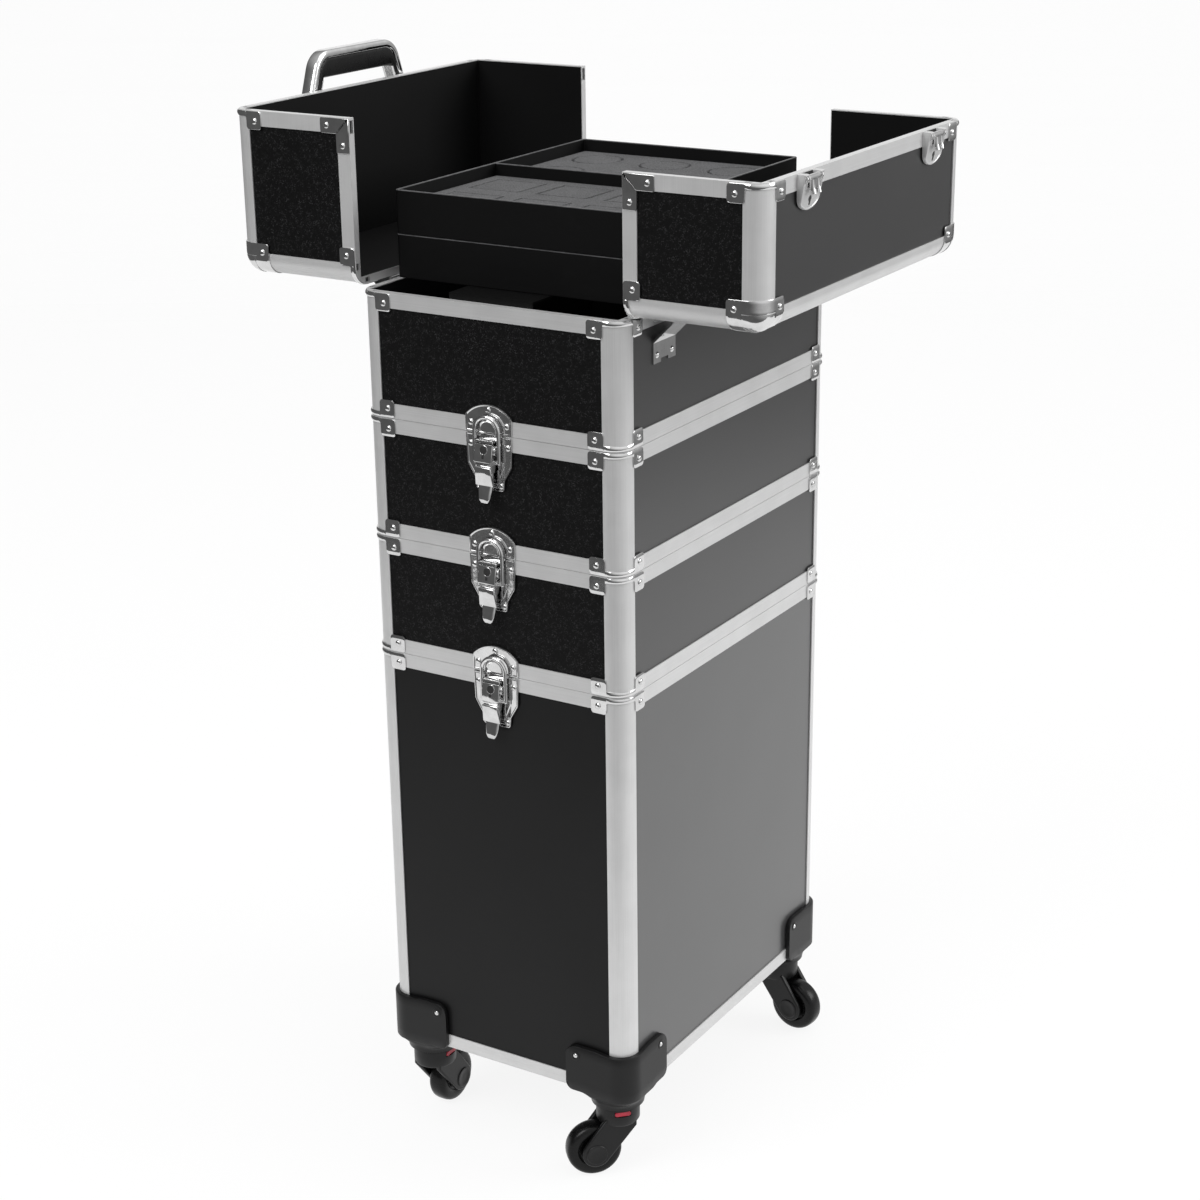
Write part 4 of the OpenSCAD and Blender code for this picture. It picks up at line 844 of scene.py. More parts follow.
def latch_base(s):
    """Lower half of a stack latch: a tapering plate with a rolled border and a raised step, a bar above the lever,
    two ears with their pin, and four rivets."""
    half, foot, low, w = s.plate_half, s.plate_half * 0.64, s.base_l, s.lever_half
    side_ = [(half, -0.45), (half - 1, -low * 0.55), (foot, -low * 0.8), (foot - 1, -low)]
    corners = np.array([(-x, y) for x, y in side_] + side_[::-1])
    outline = rounded(corners, [0.6, 4, 4, 2.5, 2.5, 4, 4, 0.6], 5)
    step = rounded(corners * [0.70, 0.93] + [0, -0.6], [0.6, 3, 3, 2, 2, 3, 3, 0.6], 5)
    plates = [slab(outline, pressed_edge(0.9, 0.6)), slab(step, plain_edge(0.9, 0.5, 0.8))]
    spots = [(half - 4.6, -low * 0.2, 0.9), (foot - 3.6, -low * 0.9, 1.2)]
    heads = repeated(rivet_head(s.rivet_r, 14), [(way * x, y, z) for x, y, z in spots for way in (1, -1)])
    out, down = LEVER_PIVOT
    ear = rounded([(0.5, down - 4), (8.4, down - 4), (8.4, down + 4), (0.5, down + 4)], [0.3, 3.6, 3.6, 0.3], 5)
    cheek = moved(slab(ear, soft_edge(1.2, 0.35)), lambda p: p[:, [2, 0, 1]])
    ears = repeated(cheek, [(w + 0.6, 0, 0), (-w - 1.8, 0, 0)])
    pin = moved(moved(turned([(1.5, -w - 2.0), (1.5, w + 2.0)], 12), swapped_xz), shift(0, out, down))
    bar = lever_stack([(-3.3, w - 0.2, 1.2, 7.9, 0.4), (-3.7, w + 0.5, 1.0, 8.4, 0.6),
                       (-5.5, w + 0.5, 1.0, 8.7, 0.6), (-5.8, w, 1.2, 8.3, 0.4)])
    return [stood(p) for p in plates + [heads]] + [ears, pin, bar]


def latch_lever(s):
    """Lever of a stack latch: rounded sections in X and the way out, stacked down from the pivot. A boxed face
    that leans out, a tongue that leans back under it, and a rounded tip. Gives (part, finish number) pairs."""
    w, tip_z = s.lever_half, -s.lever_tip
    face = lever_stack([(-6.3, w - 0.2, 7.5, 8.4, 0.3), (-6.6, w + 0.5, 7.2, 8.9, 0.5),
                        (-8.4, w + 0.5, 5.0, 9.3, 0.6), (-12.0, w + 0.5, 3.8, 10.0, 0.6),
                        (-20.4, w + 0.5, 3.4, 11.6, 0.6),
                        (-21.2, w + 0.2, 3.6, 11.5, 0.6), (-21.5, w - 0.3, 3.6, 10.6, 0.5),
                        (-22.5, w - 0.3, 3.4, 10.6, 0.5), (-22.8, w + 0.1, 3.4, 11.4, 0.5),
                        (-23.8, w + 0.1, 3.4, 11.4, 0.5), (-24.2, w - 0.3, 3.4, 10.5, 0.5),
                        (-30.2, w - 0.6, 4.4, 9.0, 0.4)])
    tongue = lever_stack([(-24.8, w - 1.4, 9.0, 11.6, 0.4), (-25.3, w - 0.7, 9.4, 12.1, 0.5),
                          (-26.0, w - 0.4, 9.4, 12.3, 0.5), (-33.0, w - 0.1, 9.2, 11.1, 0.5),
                          (-39.8, w + 0.5, 8.4, 9.9, 0.5), (-40.8, w + 0.6, 8.2, 9.7, 0.5),
                          (-41.2, w + 0.2, 8.2, 9.4, 0.4)])
    tip = lever_stack([(-30.0, w - 1.5, 4.5, 7.6, 1.2), (-38.0, w - 1.2, 4.6, 8.3, 1.8),
                       (-41.0, w - 1.2, 4.8, 8.9, 2.0), (-46.0, w - 1.4, 5.4, 10.2, 2.3),
                       (-51.0, w - 2.2, 6.2, 11.5, 2.4),
                       (tip_z + 2.6, w - 3.1, 7.0, 11.6, 2.0), (tip_z + 0.8, w - 4.2, 7.8, 11.0, 1.4),
                       (tip_z, w - 5.2, 8.6, 10.2, 0.7)])
    hole_r, hole_out, hole_z, face_lean = 3.3, 9.79, -11.0, 0.193
    on_face = lambda p: p + [0, hole_out, hole_z] - np.outer(p[:, 2], [0, face_lean, 0])
    ring = turned_ring([(hole_r, 0), (4.0, 0), (3.9, 0.2), (3.6, 0.3), (hole_r, 0.2)], 24)
    # The keyhole is a thin near-black sheet on the face: painted shade for the hole.
    hole = np.concatenate([arc((0, 0), hole_r, -70, 250, 19), [(-1.0, -7.2), (1.0, -7.2)]])
    slot = slab(hole, [(0, 0), (0, 0.06), (0.1, 0.08)])
    return [(face, 0), (tongue, 0), (tip, 0), (moved(stood(ring), on_face), 0), (moved(stood(slot), on_face), 1)]


def lid_latch_plate():
    """Plate of a lid latch with the split edge at x = 0: a tongue-shaped plate with a rolled border and an elliptic
    end, its height falling evenly towards that end, notched round the flap over a near-black floor of painted shade,
    with a keyhole of painted shade and two ears for the flap's pin. Gives (part, finish number) pairs."""
    half, notch, long_, end, up = 16.0, 9.0, 29.0, 10.0, 4.6
    tall, fall, lean = 2.2, 1.56, 0.145
    outline = np.concatenate([[(0.6, half), (0.6, notch), (10.8, notch), (10.8, -notch), (0.6, -notch), (0.6, -half)],
                              arc((0, 0), 1, -88, 88, 21) * [end, half] + [long_ - end, 0]])
    plate = slab(outline, [(0, 0), (0, 2.6), (0.3, 3.2), (0.7, 3.4), (1.2, 3.2), (1.7, 2.7), (2.1, 2.7)])
    one = np.ones(len(plate.points))
    plate = moved(plate, lambda p: p * np.stack([one, one, tall - fall * p[:, 0] / long_], 1))
    # The notch's floor is near black: painted shade under the flap.
    floor = slab(rectangle(0.8, -notch - 0.5, 11.5, notch + 0.5, 0.5, 3), plain_edge(0.5, 0.2, 0.02))
    ear = rounded([(1.2, 0.5), (8.0, 0.5), (8.0, 8.0), (1.2, 8.0)], [0.3, 0.3, 3.3, 3.3], 5)
    ears = repeated(stood(slab(ear, soft_edge(1.2, 0.35))), [(0, half - 4, 0), (0, -half + 2.8, 0)])
    pin = stood(turned([(1.5, -half + 2.4), (1.5, half - 2.4)], 12), up, 0, up)
    # The keyhole is a thin near-black sheet on the plate: painted shade for the hole.
    hole = np.concatenate([arc((0, 0), 1.9, 30, 330, 13), [(4.4, -0.7), (4.4, 0.7)]])
    on_plate = lambda p: p + [long_ - 8.5, 0, 2.8] - np.outer(p[:, 0], [0, 0, lean])
    slot = moved(slab(hole, [(0, 0.2), (0, 0.26), (0.1, 0.28)]), on_plate)
    rose = moved(slab(inset(hole, -0.9), plain_edge(0.25, 0.15)), on_plate)
    return [(plate, 2), (floor, 1), (ears, 0), (pin, 0), (rose, 0), (slot, 1)]


def lid_latch_flap():
    """Flap of a lid latch: a barrel on the pin, a thin tongue, and two round ridges that curve outwards along it, the
    height growing with the square of the distance."""
    half, up = 8.2, 4.6
    barrel = turned([(2.3, -half), (2.85, -half + 0.6), (2.85, half - 0.6), (2.3, half)], 20)
    tongue = slab(rectangle(3.6, -half, 13.6, half, 1.2, 4), soft_edge(1.0, 0.35, up + 1.7))
    run = np.linspace(0, 1, 9)
    path = np.column_stack([5.4 + 10.6 * run, 0 * run, up + 2.4 + 1.7 * run ** 2])
    ridge = swept(path, arc((0, 0), 1.75, 0, 330, 12), (0, 1, 0))
    return [stood(barrel, up, 0, up), tongue, repeated(ridge, [(0, 4.4, 0), (0, -4.4, 0)])]


def handle_shapes(h):
    """Handle folded against the left lid: in plan two legs that flare out to bends, and a bar between them. A metal
    band runs along the outer edge, with a grip inside it and eyes on the pivots. Gives the parts of the band, the
    grip and the feet."""
    up, lean = 8.5, math.degrees(h.flare)  # height of the pivots above the lid, and the legs' flare
    sin, cos = math.sin(h.flare), math.cos(h.flare)
    mid_r = h.bend - h.leg / 2
    bend_x = h.reach - h.bend
    bend_y = h.span / 2 - mid_r * cos - (bend_x + mid_r * sin) * sin / cos
    pivot_x = SPLIT_X["left"] + 32.0
    ends = (-h.span / 2, h.span / 2)
    down = np.array([sin, -cos])

    def edge(centre, r, short=0.0):
        """One edge of the handle in plan: up the leg, round the bend to the bar, and mirrored."""
        bend = arc(centre, r, lean, 90, 13)
        long_ = h.span / 2 * sin - bend[0] @ down - short
        half = np.concatenate([bend[0] + down * np.array([[long_], [0.5 * long_]]), bend])
        return np.concatenate([half, half[::-1] * [-1, 1]])

    def bar(outer, inner, thick, r):
        """Bar between two edges: at each of their points a rounded rectangle from the outer to the inner."""
        wide = np.linalg.norm(outer - inner, axis=1).mean()
        section = rectangle(0, -thick / 2, wide, thick / 2, r, 5)
        flat = outer[:, None] + (inner - outer)[:, None] * (section[:, 0] / wide)[None, :, None]
        high = np.broadcast_to(up + section[:, 1], flat.shape[:2])
        return skin(np.stack([-flat[..., 1], flat[..., 0], high], -1))

    place = lambda p: on_lid("left")(p + [pivot_x, 0, LID_TOP])
    outer = edge((bend_y, bend_x), h.bend)
    band = bar(outer, edge((bend_y, bend_x), h.bend - h.band), h.thick, 2.6)
    corner_r = 2.0
    low = h.reach - h.deep - corner_r
    inside = bend_y * cos + bend_x * sin + h.bend - h.leg
    opening = edge(((inside - corner_r - low * sin) / cos, low), corner_r, 9.5)
    grip = bar(edge((bend_y, bend_x), h.bend - h.band + 0.8, 9.5), opening, h.thick - 1.0, 1.8)
    lip = bar(opening[:3] + np.array([cos, sin]), opening[:3], h.thick - 0.4, 0.3)
    eye = turned([(3.5, -9.5), (5.4, -9.5), (6, -8.9), (6, 8.9), (5.4, 9.5), (3.5, 9.5)], 24)
    eyes = repeated(stood(eye, 0, 0, up), [(0, y, 0) for y in ends])
    foot = slab(rectangle(-11, -16, 11, 16, 3, 6), plain_edge(2.3, 0.8, -PANEL_IN))
    ear = rounded([(-6, 0.6), (6, 0.6), (6, 14.5), (-6, 14.5)], [0.5, 0.5, 5.9, 5.9], 7)
    cheek = stood(slab(ear, soft_edge(3.0, 0.7)))
    pin = stood(turned([(1.8, -13.8), (3, -13.3), (3, 13.3), (1.8, 13.8)], 20), 0, 0, up)
    heads = repeated(rivet_head(1.6), [(x, y, 1.2) for x in (-8.4, 8.4) for y in (-13.9, 13.9)])
    one = [foot, repeated(cheek, [(0, 10.0, 0), (0, -13.0, 0)]), pin, heads]
    feet = [moved(moved(p, shift(0, y, 0)), place) for p in one for y in ends]
    return [moved(p, place) for p in (band, lip, moved(lip, mirrored_y), eyes)], [moved(grip, place)], feet


# Die cuts, from a pad's front left corner: centre and half sizes of rectangles, centre and radius of circles
FRONT_CUTS = [(40 + 66 * i, 36 + 66 * j, 24, 22) for i in range(3) for j in range(2)]
REAR_CUTS = [(38 + 69 * i, 38 + 66 * j, 22) for i in range(3) for j in range(2)]


def foam_block(x0, y0, x1, y1, z0, z1, s, front):
    """Foam pad on a grid of x and y: its height is the top less a slight crown and the die cuts, each a groove whose
    depth falls with the distance from a rectangle's outline, or from a circle for the rear pad. The rows are closed
    underneath."""
    rows, columns = 216, 144
    x = np.linspace(x0, x1, rows)[:, None]
    y = np.linspace(y0, y1, columns)[None]
    edge = np.minimum(np.minimum(x - x0, x1 - x), np.minimum(y - y0, y1 - y))
    z = z1 - 1.2 * np.exp(-edge / 2.0)
    if front:
        cx, cy, hx, hy = (np.array(v, float) for v in zip(*FRONT_CUTS))
        dx = np.abs(x[..., None] - x0 - cx) - hx
        dy = np.abs(y[..., None] - y0 - cy) - hy
        away = np.abs(np.where(np.maximum(dx, dy) > 0, np.hypot(np.maximum(dx, 0), np.maximum(dy, 0)),
                               np.maximum(dx, dy)))
    else:
        cx, cy, r = (np.array(v, float) for v in zip(*REAR_CUTS))
        away = np.abs(np.hypot(x[..., None] - x0 - cx, y[..., None] - y0 - cy) - r)
    z = z - s.cut_d * np.exp(-(away.min(-1) / (0.5 * s.cut_w)) ** 4)
    xx, yy = np.broadcast_to(x, z.shape), np.broadcast_to(y, z.shape)
    top = np.stack([xx, yy, z], -1)
    bottom = np.stack([xx[:, [-1, 0]], yy[:, [-1, 0]], np.full((len(x), 2), z0)], -1)
    return skin(np.concatenate([top, bottom], 1))


def caster_housing(s):
    """Housing over a corner of the case at the origin: a wall round the corner whose ears end in quarter circles, and
    under it a neck whose plan goes from a rounded square to a circle, the power of a superellipse falling to two."""
    far, t = s.wrap_l, s.wrap_t
    ease = lambda v: np.clip(v, 0, 1) ** 2 * (3 - 2 * np.clip(v, 0, 1))
    lift = lambda d, r: r - np.sqrt(np.clip(r * r - np.clip(r - d, 0, r) ** 2, 0, None))
    a = np.radians(np.linspace(0, 90, 9))
    flats = np.concatenate([far - 10 * (1 - np.cos(a)), np.linspace(far - 10, POST_R, 16)[1:]])
    high = s.wrap_h - 1.5 * ease((36 - flats) / 18) - lift(far - flats, 10.0)
    low = -2 - 2 * ease((46 - flats) / 10) + lift(far - flats, 6.5)
    path, out = post_path(flats, POST_R, 13)
    wall = ribbon(path, out, both_ways(low, low[-1], 13), both_ways(high, high[-1], 13), t, soft=2.6)
    z = np.array([-1.0, -4.0, -6.0, -8.0, -10.0, -12.0, -14.5, -16.3, -17.0])
    r = np.array([26.0, 26.3, 26.2, 25.6, 24.8, 24.3, 24.0, 23.7, 22.6])
    p = np.array([5.0, 5.0, 4.2, 3.2, 2.5, 2.1, 2.0, 2.0, 2.0])[:, None]
    b = np.linspace(0, 2 * math.pi, 48, endpoint=False)[None]
    reach = r[:, None] * (np.abs(np.cos(b)) ** p + np.abs(np.sin(b)) ** p) ** (-1 / p)
    neck = np.stack([reach * np.cos(b), reach * np.sin(b), np.broadcast_to(z[:, None], reach.shape)], -1)
    neck = moved(skin(neck), shift(-SWIVEL_IN, -SWIVEL_IN, 0))
    seat = turned_ring([(2.6, -0.6), (4.6, -0.6), (4.4, 0.25), (3.7, 0.5), (2.7, 0.2)], 20)
    seat = stood(seat, -far + 10, t, s.wrap_h * 0.78)
    return [wall, neck, seat, moved(seat, swapped_xy)]


def caster_fork(s):
    """Fork with its trail along +X: a collar in slices with a slot for the release bar, two drop-shaped cheeks, whose
    straight sides touch the circle round the axle, and a cap over each end of the axle."""
    r, low, top, stem_top = s.collar_r, 2 * s.wheel_r + 2, 70.5, 86.0
    slot_low, slot_high = top - 7.8, top - 2.8
    lower = turned([(r - 3.5, low), (r - 1.2, low + 0.6), (r, low + 2.6), (r, slot_low)], 48)
    upper = turned([(r, slot_high), (r, top - 1.2), (r - 0.5, top - 0.3), (r - 1.6, top)], 48)
    reach = math.degrees(math.acos((RELEASE_HALF + 0.3) / r))
    wing = slab(arc((0, 0), r, -reach, reach, 25), [(0, slot_low), (0, slot_high)])
    stem = turned([(5.0, top - 0.5), (5.0, stem_top)], 20)
    half, thick = s.wheel_w / 2 + 0.8, 5.0
    x, z, hub = s.trail, s.wheel_r, 13.0
    back, front = np.array([-0.7 * r, low - 2.0]), np.array([0.75 * r, low + 6])

    def touch(point, way):
        """Angle on the axle's circle at which a line from a point touches it."""
        ahead = np.array([x, z]) - point
        return math.degrees(math.atan2(ahead[1], ahead[0]) + way * (math.asin(hub / np.hypot(*ahead)) + math.pi / 2))

    drop = arc((x, z), hub, touch(back, -1), touch(front, 1), 25)
    outline = np.concatenate([[(back[0], front[1]), back], drop, [front]])
    cheek = stood(slab(outline, soft_edge(thick, 1.6)))
    cap = turned([(9.6, -1.0), (9.6, 0.3), (9.0, 0.9), (7.6, 1.0), (7.0, 0.7), (2.0, 0.8)], 32)
    cap = stood(cap, x, half + thick, z)
    axle = stood(turned([(3.0, -half - 4.0), (3.0, half + 4.0)], 16), x, 0, z)
    return [lower, upper, wing, moved(wing, lambda p: p * [-1, 1, 1]), stem, moved(cheek, shift(0, half, 0)),
            moved(cheek, shift(0, -half - thick, 0)), cap, moved(cap, mirrored_y), axle]


def caster_wheel(s):
    """Wheel: a closed profile of tyre, groove and hub carried round the axle."""
    r, w = s.wheel_r, s.wheel_w / 2
    side_ = [(3.06, w - 1.4), (6.0, w - 1.4), (6.6, w - 2.0), (13.6, w - 2.0), (14.4, w - 0.8), (15.2, w - 0.2),
             (17.5, w), (r - 4.0, w - 0.1), (r - 1.9, w - 1.2), (r - 0.7, w - 3.0), (r - 0.15, w - 5.4)]
    profile = side_ + [(r, 0.0)] + [(a, -b) for a, b in reversed(side_)]
    return stood(turned_ring(profile, 64), s.trail, 0, s.wheel_r)


def release_bar(s):
    """Release bar through the slot of a fork's collar: a rounded section carried across it, just past both sides."""
    half, middle = math.sqrt(s.collar_r ** 2 - RELEASE_HALF ** 2) + 0.6, 65.2
    return stood(slab(rectangle(-RELEASE_HALF, -2.2, RELEASE_HALF, 2.2, 2.0, 6), soft_edge(2 * half, 0.5)),
                 0, -half, middle)


# Operators

class MAKEUPCASE_OT_frame(bpy.types.Operator):
    """Gives the boards, posts, rails, hinges, bails and supports their finishes"""
    bl_idname = "makeup_case.frame"
    bl_label = "Frame finishes"

    def execute(self, context):
        looks = {
            "case_board": ("lower_tier_panels", "upper_tier_panels", "top_case_panels", "left_lid_panels",
                           "right_lid_panels"),
            "plain_board": ("bottom_case_panels", "bottom_case_base"),
            "drawn_aluminium": ("bottom_case_frame", "lower_tier_frame", "upper_tier_frame", "top_case_frame",
                                "left_lid_frame", "right_lid_frame"),
            "nickel_plate": ("lid_hinge_box_leaves", "left_hinge_leaves", "right_hinge_leaves",
                             *(f"{end}_{level}_latch_bail" for end in ("front", "rear") for level in SPLITS)),
            "black_paint": ("tray_supports",),
        }
        for look, nodes in looks.items():
            for node in nodes:
                mesh = frame["nodes"][node].data
                mesh.materials.clear()
                mesh.materials.append(finish(look))
        return {"FINISHED"}


class MAKEUPCASE_OT_brackets(bpy.types.Operator):
    """Builds the two-eared brackets on the corners of the sections"""
    bl_idname = "makeup_case.brackets"
    bl_label = "Corner brackets"

    def execute(self, context):
        s = sizes(context.scene.case_hardware)
        c = sizes(context.scene.case_casters)
        bracket = corner_bracket(s)
        for section, (low, high) in SECTIONS.items():
            edges = [(high, -1)] if section == "bottom_case" else [(high, -1), (low, 1)]
            places = [at_corner(sx, sy, z, up) for sx, sy in CORNERS for z, up in edges]
            parts = [moved(p, place) for place in places for p in bracket]
            if section == "bottom_case":
                head = stood(rivet_head(2.3, 14), -c.wrap_l + 10, c.wrap_t - 0.5, c.wrap_h * 0.78)
                parts += [moved(h, at_corner(sx, sy, low)) for sx, sy in CORNERS
                          for h in (head, moved(head, swapped_xy))]
            piece(section + "_bracket_set", parts, section, [finish("nickel_plate")],
                  [section + "_brackets"])
        return {"FINISHED"}


class MAKEUPCASE_OT_lid_hardware(bpy.types.Operator):
    """Builds the ball corners, brackets, latch plates and strikes of the two lids"""
    bl_idname = "makeup_case.lid_hardware"
    bl_label = "Lid hardware"

    def execute(self, context):
        s = sizes(context.scene.case_hardware)
        for lid in LIDS:
            split = SPLIT_X[lid]
            bracket = corner_bracket(s)
            groups = [([moved(p, swapped_xz) for p in bracket], split, LID_TOP), (bracket, HALF_W, LID_Z),
                      (ball_corner(s), HALF_W, LID_TOP), (flat_bracket(s), split, LID_Z)]
            half = [moved(p, shift(x, HALF_L, z)) for group, x, z in groups for p in group]
            parts = [(p, 0) for p in half + [moved(p, mirrored_y) for p in half]]
            if lid == "right":
                latch = lid_latch_plate()
            else:
                strike = slab(rectangle(0.6, -10, 12.4, 10, 1.5, 4), plain_edge(1.2, 0.4))
                latch = [(strike, 0), (repeated(rivet_head(s.rivet_r), [(9, -4, 1.2), (9, 4, 1.2)]), 0)]
            parts += [(moved(p, shift(split, y, LID_TOP)), n) for y in LATCH_Y.values() for p, n in latch]
            parts = [(moved(p, on_lid(lid)), n) for p, n in parts]
            looks = [finish(name) for name in ("nickel_plate", "keyhole_black", "drawn_aluminium")]
            piece(lid + "_lid_fittings", parts, lid + "_lid", looks, [lid + "_lid_hardware"],
                  flat=LARGE_FACE)
        for end, y in LATCH_Y.items():
            parts = [moved(moved(p, shift(SPLIT_X["right"], y, LID_TOP)), on_lid("right")) for p in lid_latch_flap()]
            piece(end + "_lid_latch_tongue", parts, end + "_lid_latch", [finish("nickel_plate")],
                  [end + "_lid_latch_flap"])
        return {"FINISHED"}


class MAKEUPCASE_OT_stack_latches(bpy.types.Operator):
    """Builds the plates and levers of the latches between the sections"""
    bl_idname = "makeup_case.stack_latches"
    bl_label = "Stack latches"

    def execute(self, context):
        s = sizes(context.scene.case_hardware)
        ends = list(SECTIONS.values())
        z = {level: (above[0] + below[1]) / 2 for level, below, above in zip(SPLITS, ends, ends[1:])}
        plates = {
            "bottom_case": ("bottom_latch_bases", None, "lower"),
            "lower_tier": ("lower_tier_latch_plates", "lower", "middle"),
            "upper_tier": ("upper_tier_latch_plates", "middle", "upper"),
            "top_case": ("top_case_latch_keepers", "upper", None),
        }
        for body, (node, keeper, base) in plates.items():
            parts = []
            for front in (True, False):
                if keeper:
                    parts += [moved(p, at_end(front, z[keeper])) for p in keeper_plate(s)]
                if base:
                    parts += [moved(p, at_end(front, z[base])) for p in latch_base(s)]
            piece(body + "_latch_set", parts, body, [finish("nickel_plate")], [node], flat=LARGE_FACE)
        for front, end in ((True, "front"), (False, "rear")):
            for level in SPLITS:
                name = f"{end}_{level}_latch_lever"
                parts = [(moved(p, at_end(front, z[level])), n) for p, n in latch_lever(s)]
                body = next(b for b, nodes in frame["record"]["behaviour"]["bodies"].items() if name in nodes)
                piece(f"{end}_{level}_lever_form", parts, body,
                      [finish("nickel_plate"), finish("keyhole_black")], [name], flat=LARGE_FACE)
        return {"FINISHED"}


class MAKEUPCASE_OT_handle(bpy.types.Operator):
    """Builds the carrying handle: a chromed band round a black grip, on two feet"""
    bl_idname = "makeup_case.handle"
    bl_label = "Handle"

    def execute(self, context):
        h = sizes(context.scene.case_handle)
        band, grip, feet = handle_shapes(h)
        piece("handle_band", band, "handle", [finish("nickel_plate")], ["handle_bail"])
        piece("handle_grip_form", grip, "handle", [finish("hard_plastic")], ["handle_grip"])
        piece("handle_foot_pair", feet, "left_lid", [finish("nickel_plate")], ["handle_feet"])
        return {"FINISHED"}


class MAKEUPCASE_OT_linings(bpy.types.Operator):
    """Builds the black linings inside the sections and the lids"""
    bl_idname = "makeup_case.linings"
    bl_label = "Linings"

    def execute(self, context):
        t = sizes(context.scene.case_trays).lining_t
        deep = FRAME_T + 0.05
        base_t, tier_floor, rim_gap, edge_gap = 4.0, 12.0, 0.7, 2.3
        for section, (low, high) in SECTIONS.items():
            floor = low + (base_t if section == "bottom_case" else tier_floor)
            top = high - (rim_gap if section == "top_case" else edge_gap)
            outline = rectangle(-HALF_W + deep, -HALF_L + deep, HALF_W - deep, HALF_L - deep, 3.0, 6)
            wall = wall_round(outline, [(0, floor), (t, floor), (t, top - 0.2), (0.5 * t, top), (0, top)])
            sheet = slab(inset(outline, 0.1), plain_edge(t, 0.1, floor + 0.05))
            piece(section + "_lining", [wall, sheet], section, [finish("black_lining")])
        for lid in LIDS:
            split = SPLIT_X[lid] + 0.8
            x, y = HALF_W - deep, HALF_L - deep
            turn = arc((x - 3, y - 3), 3, 90, 0, 6)
            line = np.concatenate([[(split, y)], turn, turn[::-1] * [1, -1], [(split, -y)]])
            low, top = LID_Z + 0.8, LID_TOP - deep
            wall = wall_round(line, [(0, low), (-t, low), (-t, top), (0, top)], loop=False)
            sheet = slab(rectangle(split, -y, x, y, 2.0, 5), soft_edge(t, 0.1, top - t - 0.02))
            piece(lid + "_lid_lining", [moved(p, on_lid(lid)) for p in (wall, sheet)], lid + "_lid",
                  [finish("black_lining")])
        return {"FINISHED"}


class MAKEUPCASE_OT_trays(bpy.types.Operator):
    """Builds the two trays: thin walls with round corners, a rim with a painted highlight and a floor"""
    bl_idname = "makeup_case.trays"
    bl_label = "Trays"

    def execute(self, context):
        s = sizes(context.scene.case_trays)
        for node, divider in (("lower_tray", False), ("upper_tray", True)):
            low, high = (np.array(c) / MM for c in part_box(node))
            outline = rectangle(low[0], low[1], high[0], high[1], s.corner, 7)
            w, z0, z1 = s.wall, low[2], high[2]
            wall = wall_round(outline, [(0, z0 + 0.4), (0.4, z0), (w, z0), (w, z1 - 0.7), (0, z1 - 0.7)])
            rim = wall_round(outline, [(0, z1 - 0.75), (w, z1 - 0.75), (w, z1 - 0.3), (w - 0.35, z1), (0.35, z1),
                                       (0, z1 - 0.3)])
            floor = slab(inset(outline, 0.3), plain_edge(w, 0.2, z0 + 0.02))
            # The rims take finish 1, a lighter grey that is painted highlight.
            parts = [(wall, 0), (rim, 1), (floor, 0)]
            if divider:
                line, v = np.array([(low[0] + 0.5, 0), (high[0] - 0.5, 0)]), w / 2
                wall = [(-v, z0 + 1), (v, z0 + 1), (v, z1 - 1.0), (-v, z1 - 1.0)]
                rim = [(-v, z1 - 1.05), (v, z1 - 1.05), (v, z1 - 0.6), (v - 0.35, z1 - 0.25), (-v + 0.35, z1 - 0.25),
                       (-v, z1 - 0.6)]
                parts += [(wall_round(line, wall, loop=False), 0), (wall_round(line, rim, loop=False), 1)]
            piece(node + "_box", parts, node, [finish("tray_board"), finish("tray_rim")], [node])
        return {"FINISHED"}


class MAKEUPCASE_OT_foam(bpy.types.Operator):
    """Builds the die-cut foam in the upper tray"""
    bl_idname = "makeup_case.foam"
    bl_label = "Foam inserts"

    def execute(self, context):
        s = sizes(context.scene.case_trays)
        low, high = (np.array(c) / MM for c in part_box("tray_foam"))
        gap = s.wall / 2 + 0.3
        parts = []
        for front in (True, False):
            y0, y1 = (low[1], -gap) if front else (gap, high[1])
            parts.append(foam_block(low[0], y0, high[0], y1, low[2], high[2], s, front))
        obj = piece("foam_inserts", parts, "upper_tray", [finish("open_foam")], ["tray_foam"], sharp=60.0)
        return {"FINISHED"}


class MAKEUPCASE_OT_casters(bpy.types.Operator):
    """Builds the four casters: housings, forks, wheels and release bars"""
    bl_idname = "makeup_case.casters"
    bl_label = "Casters"

    def execute(self, context):
        s = sizes(context.scene.case_casters)
        parts = [moved(p, at_corner(sx, sy, BASE_Z)) for sx, sy in CORNERS for p in caster_housing(s)]
        piece("caster_housing_set", parts, "bottom_case", [finish("moulded_plastic")],
              ["caster_housings"])
        for corner in CASTERS:
            place = at_caster(corner)
            for name, shapes, slot, look in (("fork", caster_fork(s), "black_plastic", "moulded_plastic"),
                                             ("wheel", [caster_wheel(s)], "wheel_plastic", "hard_plastic"),
                                             ("release", [release_bar(s)], "release_red", "glossy_red")):
                node = f"{corner}_{name}"
                piece(node + "_form", [moved(p, place) for p in shapes], node, [finish(look)], [node])
        return {"FINISHED"}


